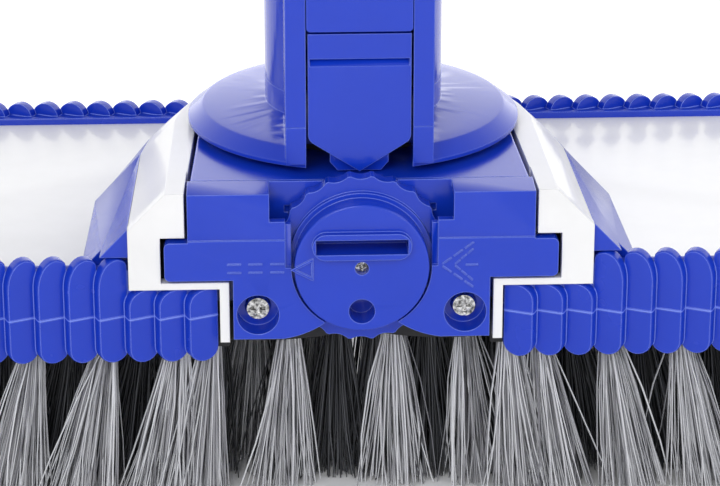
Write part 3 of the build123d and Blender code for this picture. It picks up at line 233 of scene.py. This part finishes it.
FLOOR = 6.0
floor_mesh = bpy.data.meshes.new("floor")
corners = [(-FLOOR, -FLOOR, 0), (FLOOR, -FLOOR, 0), (FLOOR, FLOOR, 0), (-FLOOR, FLOOR, 0)]
floor_mesh.from_pydata(corners, [], [(0, 1, 2, 3)])
floor = bpy.data.objects.new("floor", floor_mesh)
bpy.context.scene.collection.objects.link(floor)
# the floor glows a little behind the object, as a lit backdrop does
GLOW_START = 75 * MM
GLOW_RAMP = 60 * MM
PAPER_SCALE = 30.0
floor_recipe = Recipe("white_floor", Roughness=0.6, Emission_Strength=0.45)
paper = floor_recipe.noise(PAPER_SCALE)
glow = ((floor_recipe.along("Y") - GLOW_START) * (1 / GLOW_RAMP)).clamp()
floor_recipe.set(Base_Color=floor_recipe.mix(paper, (0.93, 0.93, 0.94, 1.0), (0.97, 0.97, 0.97, 1.0)),
                 Emission_Color=floor_recipe.mix(glow, (0.0, 0.0, 0.0, 1.0), (1.0, 1.0, 1.0, 1.0)))
floor_mesh.materials.append(floor_recipe.material)

CEILING = 0.45
WALLS = 0.42
BACK_WALL = 1.55
world = bpy.data.worlds.new("tent")
world.use_nodes = True
world.node_tree.nodes["Background"].inputs["Color"].default_value = (1.0, 1.0, 1.0, 1.0)
sky = Recipe.of_tree(world.node_tree)
direction = sky.node("ShaderNodeTexCoord", {}, {}, output="Generated")
behind = sky.along("Y", direction).clamp()
above = sky.along("Z", direction).clamp()
low_down = 1 - above
sky.feed(world.node_tree.nodes["Background"].inputs["Strength"],
         low_down * WALLS + behind * low_down * BACK_WALL + CEILING)
bpy.context.scene.world = world
add_light("key", place=(-0.45, -1.35, 1.05), size=0.8, power=9)
add_light("fill", place=(0.9, -1.0, 0.7), size=0.7, power=3)
bpy.context.scene.view_settings.view_transform = "Standard"

# %% [markdown]
# ## Moulded plastic
# The blue and white parts are glossy moulded plastic. The colour is even, with a faint cloudiness from the
# moulding flow and a fine orange-peel texture. Near sharp edges the colour is mixed towards a paler tint, a
# painted highlight where the rounded edges catch the light. The bumpers also have a painted highlight line
# at the parting line's height, so the height alone draws it.

# %% Plastics
CLOUD_SCALE = 55.0
CLOUD_SHADE = 0.86
CLOUD_ROUGHNESS = 0.12
SPECK_SCALE = 900.0
SPECK_DEPTH = 0.00002
LINE_HALF = 0.32 * MM
LINE_HIGHLIGHT_SHARE = 0.9
PARTING_DROP = 17.8 * MM
PARTING_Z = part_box("right_bumper")[1].z - PARTING_DROP


def moulded(name, face, highlight_tint, rough, highlight_share, edge_radius, coat, line_z=None):
    """Moulded plastic: cloudy colour, fine texture, a painted highlight on edges, and a painted highlight
    line at one height if given.
    """
    recipe = Recipe(name, Coat_Weight=coat, Coat_Roughness=0.08, Specular_IOR_Level=0.45)
    cloud = recipe.noise(CLOUD_SCALE)
    speck = recipe.noise(SPECK_SCALE, detail=2.0)
    rounded, edge = recipe.edge(edge_radius)
    darker = tuple(CLOUD_SHADE * c for c in face) + (1.0,)
    body = recipe.mix(cloud, darker, tuple(face) + (1.0,))
    # painted highlight: near sharp edges the colour is mixed towards a paler tint, where rounded edges catch
    # the light
    colour = recipe.mix(edge * highlight_share, body, tuple(highlight_tint) + (1.0,))
    if line_z is not None:
        # painted highlight along the parting line: a thin band at one height is mixed towards the paler tint
        line_highlight = (1 - abs(recipe.along("Z") - line_z) * (1 / LINE_HALF)).clamp()
        colour = recipe.mix(line_highlight * LINE_HIGHLIGHT_SHARE, colour, tuple(highlight_tint) + (1.0,))
    normal = recipe.bump(speck, SPECK_DEPTH, 0.5, normal=rounded)
    recipe.set(Base_Color=colour, Roughness=cloud * CLOUD_ROUGHNESS + rough, Normal=normal)
    return recipe.material


BLUE = (0.006, 0.044, 0.560)
HIGHLIGHT_BLUE = (0.22, 0.32, 0.95)
WHITE = (0.93, 0.93, 0.935)
HIGHLIGHT_WHITE = (0.96, 0.96, 0.965)
IVORY = (0.80, 0.79, 0.74)
HIGHLIGHT_IVORY = (0.90, 0.89, 0.86)
BLACK = (0.012, 0.012, 0.014)
HIGHLIGHT_BLACK = (0.04, 0.04, 0.045)
blue_plastic = moulded("blue_plastic", BLUE, HIGHLIGHT_BLUE, rough=0.13, highlight_share=0.70,
                       edge_radius=0.0005, coat=0.15)
bumper_plastic = moulded("bumper_plastic", BLUE, HIGHLIGHT_BLUE, rough=0.20, highlight_share=0.95,
                         edge_radius=0.00045, coat=0.1, line_z=PARTING_Z)
white_plastic = moulded("white_plastic", WHITE, HIGHLIGHT_WHITE, rough=0.26, highlight_share=0.6,
                        edge_radius=0.0005, coat=0.3)
gear_plastic = moulded("gear_plastic", IVORY, HIGHLIGHT_IVORY, rough=0.42, highlight_share=0.4,
                       edge_radius=0.0002, coat=0.0)
bush_plastic = moulded("bush_plastic", BLACK, HIGHLIGHT_BLACK, rough=0.45, highlight_share=0.4,
                       edge_radius=0.0002, coat=0.0)

# %% [markdown]
# ## Steel
# The screws, pins and the spring are bright stainless steel. One fine noise paints dark and bright spots
# into the colour, a painted reflection of the room as small faces and marks would mirror it, and it also
# changes the gloss and the surface.

# %% Steel
MARK_AND_REFLECTION_SCALE = 900.0
MARK_DEPTH = 0.0004
steel_recipe = Recipe("stainless_steel", Metallic=1.0)
mark_and_reflection = steel_recipe.noise(MARK_AND_REFLECTION_SCALE, detail=4.0)
painted_reflection = (mark_and_reflection * 4.0 - 1.5).clamp()
# painted reflection: the noise mixes the colour between near black and bright, as mirrored parts of a room
steel_recipe.set(Base_Color=steel_recipe.mix(painted_reflection, (0.10, 0.10, 0.10, 1.0), (0.90, 0.90, 0.89, 1.0)),
                 Roughness=mark_and_reflection * 0.15 + 0.10, Normal=steel_recipe.bump(mark_and_reflection, MARK_DEPTH, 0.7))
steel = steel_recipe.material

# %% [markdown]
# ## Nylon filaments
# Each filament has its own shade, kept as a number on its points. A silver tuft mixes bright and grey
# filaments, and a charcoal tuft is nearly black with a few paler ones.

# %% Filaments
STREAK_SCALE = 160.0
STREAK_SHARE = 0.15
STREAK_DEPTH = 0.00002


def filament(name, dark, light, rough):
    """Nylon between a dark and a light colour: mostly by each filament's shade, a little by a streak."""
    recipe = Recipe(name, Specular_IOR_Level=0.5)
    shade = recipe.attribute("shade")
    streak = recipe.noise(STREAK_SCALE, detail=2.0)
    tone = (shade * 0.85 + streak * STREAK_SHARE).clamp()
    recipe.set(Base_Color=recipe.mix(tone, dark, light), Roughness=streak * STREAK_SHARE + rough,
               Normal=recipe.bump(streak, STREAK_DEPTH, 0.3))
    return recipe.material


silver_filament = filament("silver_filament", dark=(0.16, 0.16, 0.18, 1.0),
                           light=(0.82, 0.83, 0.86, 1.0), rough=0.30)
charcoal_filament = filament("charcoal_filament", dark=(0.010, 0.011, 0.013, 1.0),
                             light=(0.13, 0.135, 0.15, 1.0), rough=0.34)

# %% [markdown]
# ## A finish for every solid part
# Parts that keep their solid shape get their finish by assigning the material to their slots.

# %% Finish the solid parts
FINISH = {
    "blue_plastic": blue_plastic,
    "blue_bumper": bumper_plastic,
    "white_plastic": white_plastic,
    "silver_filament": silver_filament,
    "charcoal_filament": charcoal_filament,
    "acetal_gear": gear_plastic,
    "bush_plastic": bush_plastic,
    "stainless_steel": steel,
}
slot_of = {row["node"]: row["material_slot"] for row in frame["record"]["subparts"]}
for node_name, node in frame["nodes"].items():
    node.data.materials.clear()
    node.data.materials.append(FINISH[slot_of[node_name]])
print("finished", len(slot_of), "solid parts")

# %% [markdown]
# ## Rounded edges on the solid parts
# A mould leaves no edge quite sharp, and a rounded edge catches a thin line of light. The solid parts are
# loose triangles, so each listed part is copied, its points are merged and its flat faces are joined up
# again. A Bevel then rounds only the edges that turn more than a small angle. It stands in for the solid
# part it was copied from.

# %% Softened copies of solid parts
MERGE = 1e-6
FLAT_ANGLE = math.radians(0.03)
SHARP_ANGLE = math.radians(28)
ROUNDING_STEPS = 2


def softened(node_name, width):
    """A copy of a solid part with triangles merged into flat faces, and sharp edges rounded by width."""
    source = frame["nodes"][node_name]
    work = bmesh.new()
    work.from_mesh(source.data)
    bmesh.ops.remove_doubles(work, verts=work.verts, dist=MERGE)
    bmesh.ops.dissolve_limit(work, angle_limit=FLAT_ANGLE, verts=work.verts, edges=work.edges)
    mesh = bpy.data.meshes.new(node_name + "_moulding")
    work.to_mesh(mesh)
    work.free()
    mesh.polygons.foreach_set("use_smooth", np.ones(len(mesh.polygons), dtype=bool))
    mesh.set_sharp_from_angle(angle=SHARP_ANGLE)
    mesh.materials.append(FINISH[slot_of[node_name]])
    piece = bpy.data.objects.new(node_name + "_moulding", mesh)
    bpy.context.scene.collection.objects.link(piece)
    bevel = piece.modifiers.new("rounded edges", "BEVEL")
    bevel.width = width
    bevel.segments = ROUNDING_STEPS
    bevel.limit_method = "ANGLE"
    bevel.angle_limit = SHARP_ANGLE
    bevel.harden_normals = True
    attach(piece, source["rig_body"])
    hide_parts(node_name)
    return piece


EDGE_WIDTH = {"front_cover": 0.35, "dial": 0.25, "turntable": 0.5, "pole_tube": 0.6, "thumb_latch": 0.6,
              "channel_cover": 0.3, "right_wing_deck": 0.4, "left_wing_deck": 0.4,
              "right_flank_cover": 0.5, "left_flank_cover": 0.5}
for part_name, width in EDGE_WIDTH.items():
    moulding = softened(part_name, width * MM)
    print(moulding.name, len(moulding.data.polygons), "faces before rounding")

# %% [markdown]
# ## Meshes from arrays
# New pieces are grids of points computed as whole arrays. One function turns points and faces into a piece,
# smooths it except at sharp edges, and makes it ride on its body.

# %% Mesh helpers
def grid_faces(rows, columns, wrap=False):
    """The quads of a grid of points, row by row; wrap joins the last column to the first."""
    row = np.arange(rows - 1)[:, None]
    column = np.arange(columns if wrap else columns - 1)[None, :]
    after = (column + 1) % columns
    quads = np.stack([row * columns + column, row * columns + after, (row + 1) * columns + after,
                      (row + 1) * columns + column], axis=-1)
    return quads.reshape(-1, 4)


def add_piece(name, points, quads, body, slot_name, stands_for, sharp=35.0, shade=None):
    """A piece from an array of points in metres and an array of quads.

    It stands for the named solid parts. Edges that turn more than sharp degrees stay sharp, and 0 smooths
    them all. shade is a number for each point, which the material reads.
    """
    mesh = bpy.data.meshes.new(name)
    mesh.vertices.add(len(points))
    mesh.vertices.foreach_set("co", np.ascontiguousarray(points, dtype=np.float32).ravel())
    mesh.loops.add(quads.size)
    mesh.loops.foreach_set("vertex_index", np.ascontiguousarray(quads, dtype=np.int32).ravel())
    mesh.polygons.add(len(quads))
    starts = np.arange(0, quads.size, quads.shape[1], dtype=np.int32)
    mesh.polygons.foreach_set("loop_start", starts)
    mesh.update(calc_edges=True)
    mesh.validate()
    if shade is not None:
        numbers = mesh.attributes.new("shade", "FLOAT", "POINT").data
        numbers.foreach_set("value", shade.astype(np.float32))
    mesh.polygons.foreach_set("use_smooth", np.ones(len(mesh.polygons), dtype=bool))
    if sharp:
        mesh.set_sharp_from_angle(angle=math.radians(sharp))
    mesh.materials.append(FINISH[slot_name])
    piece = bpy.data.objects.new(name, mesh)
    bpy.context.scene.collection.objects.link(piece)
    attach(piece, body)
    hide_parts(*stands_for)


# %% [markdown]
# ## The louvred bumper
# Each wing's edge is a row of overlapping rubbery louvres, like tiles on edge, that protect the pool's
# lining. Each louvre is a rounded slab turned a little about its own height, so that one long edge stands
# proud over the next. A louvre is worked out as a ladder: pairs of points up the slab, left and right, at
# five depths from its bevelled front to its back. A moulding line crosses it as a small raised rung.

# %% Louvre
bumper_low, bumper_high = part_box("right_bumper")
FRONT_LOUVRES = 22
PITCH = (bumper_high.x - bumper_low.x) / FRONT_LOUVRES
CORNER = 14.0 * MM
CREST = bumper_high.z
FIN_FOOT = bumper_low.z
SHORT_TOP = FIN_FOOT + 22.5 * MM
SLAB_HALF = 4.55 * MM
SLAB_TURN = math.radians(24.0)
# how far in and how deep the slab's side lies, from its bevelled front to its back, in millimetres
SLAB_PROFILE = ((1.1, 0.0), (0.35, 0.05), (0.10, 0.35), (0.0, 0.9), (0.0, 3.6))
BACK_FROM = 3
ROUND_FOOT = 4.4 * MM
ROUND_STEPS = 9
SLACK_RUN = 2 * MM
LOW_RUNG = -0.3
APEX_SHIFT = -1.2 * MM
LINE_RUNGS = np.array([-0.35, -0.12, 0.12, 0.35]) * MM
LINE_CORE = 0.2 * MM
LINE_RISE = 0.22 * MM


def louvre(top, foot, shoulders):
    """A slab's points as (rung, side and depth, xyz): x across, y inwards from its face, z up.

    shoulders gives how far down the two upper corners start to round, on the hidden and on the proud side.
    Each side's reach at height z is an ellipse's: the full reach times the root of 1 - u squared, where u
    runs from 0 at the shoulder to 1 at the top. The foot is rounded in the same way.
    """
    middle_z = (top + foot) / 2
    half = (top - foot) / 2
    arc = np.sin(np.linspace(0, np.pi / 2, ROUND_STEPS))
    deepest = max(shoulders)
    line_z = PARTING_Z - middle_z
    z = np.sort(np.concatenate([-half + ROUND_FOOT * (1 - arc), [LOW_RUNG * half], line_z + LINE_RUNGS,
                                half - deepest * (1 - arc)]))
    apex = APEX_SHIFT if shoulders[0] != shoulders[1] else 0.0

    def reach(shoulder, side):
        up = np.clip((z - half + shoulder) / shoulder, 0, 1)
        down = np.clip((-half + ROUND_FOOT - z) / ROUND_FOOT, 0, 1)
        centre = np.where(z > 0, apex, 0.0)
        share = np.sqrt(np.clip(1 - np.maximum(up, down) ** 2, 0, 1))
        return centre + (side * SLAB_HALF - centre) * share

    hidden, proud = reach(shoulders[0], -1), reach(shoulders[1], 1)
    raised = np.where(np.abs(z - line_z) < LINE_CORE, LINE_RISE, 0.0)
    columns = {-1: [], 1: []}
    for inset, depth in SLAB_PROFILE:
        slack = np.clip(np.abs(z) - (half - SLACK_RUN), 0, None) / SLACK_RUN * inset * MM * np.sign(z)
        out = raised if depth < BACK_FROM else 0.0
        for side, edge in ((-1, hidden), (1, proud)):
            pulled = edge - side * np.minimum(inset * MM, np.abs(proud - hidden) / 2)
            columns[side].append(np.stack([pulled, depth * MM - out + 0 * z, z - slack], axis=-1))
    return np.stack(columns[-1][::-1] + columns[1], axis=1) + np.array([0, 0, middle_z])


def louvre_faces(rungs, ring):
    """Quads round every rung: over the front, down both sides and across the back, with both ends closed."""
    around = grid_faces(rungs, ring, wrap=True)
    pairs = np.arange(ring // 2 - 1)
    foot = np.stack([pairs, ring - 1 - pairs, ring - 2 - pairs, pairs + 1], axis=-1)
    head = (rungs - 1) * ring + foot[:, ::-1]
    return np.concatenate([around, foot, head])


tall = louvre(CREST, FIN_FOOT, shoulders=(2.6 * MM, 9.0 * MM))
short = louvre(SHORT_TOP, FIN_FOOT, shoulders=(1.0 * MM, 5.0 * MM))
rear = louvre(CREST, FIN_FOOT, shoulders=(4.5 * MM, 4.5 * MM))
print("louvre", tall.shape, "points,", round(PITCH / MM, 2), "mm apart")

# %% [markdown]
# ## Along the bumper's path
# The louvres stand side by side along one line: the front, a round corner, the end, a second corner and the
# rear. A place on the line follows from the distance travelled, so one array of distances spaces them all.

# %% Bumper path
front_y = bumper_low.y
rear_y = bumper_high.y
tip_x = bumper_high.x
inner_x = bumper_low.x
front_run = tip_x - CORNER - inner_x
corner_run = CORNER * math.pi / 2
end_run = rear_y - front_y - 2 * CORNER


def path_at(travel):
    """Points on the bumper's outer line and their facing angles, for distances from its front inner end."""
    stops = np.cumsum([front_run, corner_run, end_run, corner_run])
    turn_one = np.clip((travel - stops[0]) / CORNER, 0, np.pi / 2)
    turn_two = np.clip((travel - stops[2]) / CORNER, 0, np.pi / 2)
    facing = -np.pi / 2 + turn_one + turn_two
    x = inner_x + np.clip(travel, 0, front_run) + CORNER * np.sin(turn_one)
    y = front_y + CORNER * (1 - np.cos(turn_one)) + np.clip(travel - stops[1], 0, end_run)
    x = x - CORNER * (1 - np.cos(turn_two)) - np.clip(travel - stops[3], 0, None)
    y = y + CORNER * np.sin(turn_two)
    return x, y, facing


bumper_run = 2 * front_run + 2 * corner_run + end_run
louvre_count = round(bumper_run / PITCH)
travel = (np.arange(louvre_count) + 0.5) * bumper_run / louvre_count
louvre_x, louvre_y, facing = path_at(travel)


STRAIGHT_OUT = 0.01
PAST_END = 0.1
SHORT_LOUVRES = 3


def carried(slab, x, y, angle):
    """A slab placed with its face outwards at (x, y), turned so that its outer edge stands proud."""
    lean = -SLAB_TURN if y < 0 or abs(angle) < STRAIGHT_OUT else SLAB_TURN
    face = angle + lean
    outward = np.array([math.cos(face), math.sin(face), 0.0])
    across = np.array([-math.sin(face), math.cos(face), 0.0])
    sunk = SLAB_HALF * math.sin(SLAB_TURN)
    centre = np.array([x - sunk * math.cos(angle), y - sunk * math.sin(angle), 0.0])
    flat = slab[..., :1] * across - slab[..., 1:2] * outward
    return centre + flat + slab[..., 2:3] * np.array([0, 0, 1.0])


def slab_for(index):
    """Short slabs under the cheek's foot, rear ones past the end, and tall ones between."""
    if index < SHORT_LOUVRES:
        return short
    return rear if louvre_y[index] > 0 and facing[index] > PAST_END else tall


def bumper_parts():
    """All louvres of the right wing as one array of points and quads."""
    points, quads, start = [], [], 0
    for index in range(louvre_count):
        slab = slab_for(index)
        placed = carried(slab, louvre_x[index], louvre_y[index], facing[index])
        points.append(placed.reshape(-1, 3))
        quads.append(louvre_faces(*slab.shape[:2]) + start)
        start += slab.shape[0] * slab.shape[1]
    return np.concatenate(points), np.concatenate(quads)


louvre_points, louvre_quads = bumper_parts()

# %% [markdown]
# ## The band behind the louvres
# Behind the louvres runs the band that carries them. Its section is a rounded ledge, carried along the same
# path. On the front it is lower beside the cheek, so that the cheek's foot passes over the three short
# louvres.

# %% Bumper band
CHEEK_EDGE = 66.3 * MM
LOW_LEDGE = -10.0 * MM
BAND_START = 0.0005
FRONT_STOPS = 4
CORNER_STOPS = 10
LOW_STOPS = 3
band_section = np.array([(8.95, -6.4), (8.95, -4.6), (8.7, -4.0), (8.2, -3.8), (6.9, -3.8), (6.3, -4.05),
                         (5.2, -4.05), (4.2, -4.0), (4.0, -4.4), (4.0, -28.0), (4.5, -29.0), (8.0, -29.0),
                         (8.95, -28.5)]) * MM
cheek_clear = CHEEK_EDGE - inner_x
round_corner = np.linspace(0, corner_run, CORNER_STOPS)[1:]
stations = np.concatenate([np.linspace(cheek_clear, front_run, FRONT_STOPS), front_run + round_corner,
                           front_run + corner_run + np.array([end_run / 2, end_run]),
                           front_run + corner_run + end_run + round_corner,
                           [bumper_run - front_run / 2, bumper_run]])


def band(stops, section):
    """The section's points, each an inset from the outer line and a drop from the crest, at every stop."""
    x, y, angle = path_at(stops)
    inset = section[None, :, :1]
    outward = np.stack([np.cos(angle), np.sin(angle)], axis=-1)[:, None, :]
    flat = np.stack([x, y], axis=-1)[:, None, :] - inset * outward
    height = np.broadcast_to(CREST + section[None, :, 1:], flat.shape[:2] + (1,))
    rings = np.concatenate([flat, height], axis=-1)
    return rings.reshape(-1, 3), grid_faces(len(stops), len(section), wrap=True)


band_points, band_quads = band(stations, band_section)
low_section = band_section.copy()
low_section[:, 1] = np.minimum(low_section[:, 1], LOW_LEDGE)
low_points, low_quads = band(np.linspace(BAND_START, cheek_clear, LOW_STOPS), low_section)


def joined(*pieces):
    """Several point and quad arrays as one."""
    starts = np.cumsum([0] + [len(points) for points, _ in pieces[:-1]])
    return (np.concatenate([points for points, _ in pieces]),
            np.concatenate([quads + start for (_, quads), start in zip(pieces, starts)]))


bumper_points, bumper_quads = joined((louvre_points, louvre_quads), (band_points, band_quads),
                                     (low_points, low_quads))
MIRROR = np.array([-1.0, 1.0, 1.0])
add_piece("right_bumper_louvres", bumper_points, bumper_quads, "right_wing", "blue_bumper",
          ["right_bumper"])
add_piece("left_bumper_louvres", bumper_points * MIRROR, bumper_quads[:, ::-1], "left_wing", "blue_bumper",
          ["left_bumper"])
print("bumper", len(bumper_quads), "faces,", louvre_count, "louvres")

# %% [markdown]
# ## Bristles
# Filaments are set in tufts, and each tuft fans out towards its tips. The rows alternate: silver tufts in
# front, then charcoal ones set half a pitch across, so that dark shows between light. A filament is a
# three-sided tapered rod with four rings, bent a little, and all of a colour on a wing are computed at once.
# Each gets a random shade and bend from a seeded generator, so that every run gives the same brush.

# %% Tufts
deck_low, deck_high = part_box("right_wing_deck")
ROWS = 9
FRONT_INSET = 12.5 * MM
REAR_INSET = 4.5 * MM
row_y = np.linspace(deck_low.y + FRONT_INSET, deck_high.y - REAR_INSET, ROWS)
TUFT_PITCH = 21.0 * MM
TUFT_SHIFT = 0.5
# the wing's hinge, and the line at its inner end that comes near the middle plane at the full fold
HINGE_X = 26.0 * MM
HINGE_Y = -0.008
FOLD_SINE = math.sin(math.radians(24.83))
FOLD_COSINE = 0.9076
FOLD_REACH = 24.5 * MM
FOLD_CLEAR = 6.0 * MM
# the innermost tuft of any row and of the front row, and the outermost one's place from the end
INNERMOST = 5.2 * MM
CHEEK_FOOT = 41.8 * MM
OUTER_INSET = 7 * MM
# a gap wider than this at a row's inner end gets one more tuft
WIDE_GAP = 10 * MM
EXTRA_INSET = 1.2 * MM
# the short row under the hub's front
HUB_ROW_Y = -50.0 * MM
HUB_ROW_END = 33.5 * MM


def tuft_roots(colour, row_x, hub_x, seed):
    """One colour's tufts on a wing, worked out for the right one: every second row, cut short to fold."""
    noise = np.random.default_rng(seed)
    outer_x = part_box("right_silver_bristles")[1].x - OUTER_INSET
    silver = colour == "silver"
    places = []
    for row in range(0 if silver else 1, ROWS, 2):
        y = row_y[row]
        fold_line = HINGE_X + ((y - HINGE_Y) * FOLD_SINE - FOLD_REACH) / FOLD_COSINE
        start = max(INNERMOST, fold_line + FOLD_CLEAR, CHEEK_FOOT if row == 0 else 0.0)
        grid = row_x + (0.0 if silver else -TUFT_SHIFT * TUFT_PITCH) + TUFT_PITCH * np.arange(-1, 12)
        grid = grid[(grid > start) & (grid < outer_x)]
        if len(grid) and grid[0] - start > WIDE_GAP:
            grid = np.concatenate([[start + EXTRA_INSET], grid])
        places.append(np.stack([grid, np.full(len(grid), y)], axis=-1))
    if silver:
        under_hub = hub_x + TUFT_PITCH * np.arange(2)
        under_hub = under_hub[under_hub < HUB_ROW_END]
        places.append(np.stack([under_hub, np.full(len(under_hub), HUB_ROW_Y)], axis=-1))
    places = np.concatenate(places)
    return places + noise.uniform(-0.5, 0.5, places.shape) * MM


# %% Filaments of the tufts
ROOT_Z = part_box("right_brush_block")[0].z
ROOT_RISE = 0.4 * MM
TUFT_RADIUS = 3.1 * MM
FILAMENT_RADIUS = 0.30 * MM
FAN = 7.2 * MM
FAN_DEPTH = 0.62
# tips lean outwards, by a lean that grows over the first run and fades towards the wing's end
LEAN = 8.5 * MM
LEAN_RUN = 65 * MM
LEAN_END = 225 * MM
LEAN_FADE = 60 * MM
STRAY = 1.5 * MM
STRAY_FROM = 0.93
FAR_STRAY = 3.0
BOW = 0.9 * MM
TIP_RISE = 1.6
RINGS = 4
SIDES = 3
RING_SHARE = np.array([0.0, 0.35, 0.7, 1.0])
RING_TAPER = np.array([1.0, 1.0, 0.95, 0.7])


def filaments(places, per_tuft, seed, bright_share):
    """Points, quads and shades of every filament of the given tufts.

    A filament's middle line runs straight from root to tip, plus a bow that is the sine of half a turn over
    its length. Its three corners at each ring stand a third of a turn apart.
    """
    noise = np.random.default_rng(seed)
    count = len(places) * per_tuft
    root = np.repeat(places, per_tuft, axis=0)
    radius = np.sqrt(noise.uniform(0, 1, count))
    angle = noise.uniform(0, 2 * np.pi, count)
    spot = np.stack([radius * np.cos(angle), radius * np.sin(angle)], axis=-1)
    along = root[:, :1]
    lean = LEAN * np.clip(along / LEAN_RUN, 0, 1) * np.clip((LEAN_END - along) / LEAN_FADE, 0, 1)
    lean = np.concatenate([lean, 0 * lean], axis=-1)
    stray = noise.normal(0, STRAY, (count, 2))
    stray = stray * np.where(noise.uniform(0, 1, (count, 1)) > STRAY_FROM, FAR_STRAY, 1.0)
    tip = root + spot * (TUFT_RADIUS + FAN) * np.array([1.0, FAN_DEPTH]) + lean + stray
    start = root + spot * TUFT_RADIUS
    bow = noise.normal(0, BOW, (count, 2))
    tip_z = noise.uniform(0.0, TIP_RISE, count) ** 2 * MM
    share = RING_SHARE
    centre = (start[:, None, :] * (1 - share[None, :, None]) + tip[:, None, :] * share[None, :, None]
              + bow[:, None, :] * np.sin(np.pi * share)[None, :, None])
    height = ROOT_Z + ROOT_RISE + (tip_z[:, None] - ROOT_Z - ROOT_RISE) * share[None, :]
    spin = noise.uniform(0, 2 * np.pi, count)[:, None] + np.array([0, 2, 4]) * np.pi / 3
    thick = FILAMENT_RADIUS * noise.uniform(0.75, 1.2, count)
    corners = np.stack([np.cos(spin), np.sin(spin)], axis=-1)[:, None]
    flat = centre[:, :, None, :] + corners * (thick[:, None] * RING_TAPER)[:, :, None, None]
    heights = np.broadcast_to(height[:, :, None, None], flat.shape[:3] + (1,))
    points = np.concatenate([flat, heights], axis=-1)
    sides = grid_faces(RINGS, SIDES, wrap=True)
    quads = (sides[None] + RINGS * SIDES * np.arange(count)[:, None, None]).reshape(-1, 4)
    bright = noise.uniform(0, 1, count) < bright_share
    shade = np.where(bright, noise.normal(0.88, 0.10, count), noise.normal(0.25, 0.16, count))
    return points.reshape(-1, 3), quads, np.repeat(np.clip(shade, 0, 1), RINGS * SIDES)


# each wing's side, its mirroring across and round each face, and where its rows and its hub row start
WINGS = (("right", 1.0, 1, 10.0 * MM, 10.0 * MM), ("left", -1.0, -1, 10.5 * MM, 20.5 * MM))
# each colour's filaments in a tuft, and its share of bright ones
COLOURS = (("silver", 100, 0.62), ("charcoal", 95, 0.22))
for side, mirror, order, row_x, hub_x in WINGS:
    for colour, per_tuft, bright_share in COLOURS:
        places = tuft_roots(colour, row_x, hub_x, seed=11 + len(colour))
        points, quads, shade = filaments(places, per_tuft, 21 + len(side) + len(colour), bright_share)
        add_piece(f"{side}_{colour}_tufts", points * np.array([mirror, 1, 1]), quads[:, ::order],
                  f"{side}_wing", f"{colour}_filament", [f"{side}_{colour}_bristles"], sharp=0, shade=shade)
        print(side, colour, len(places), "tufts", len(quads), "faces")
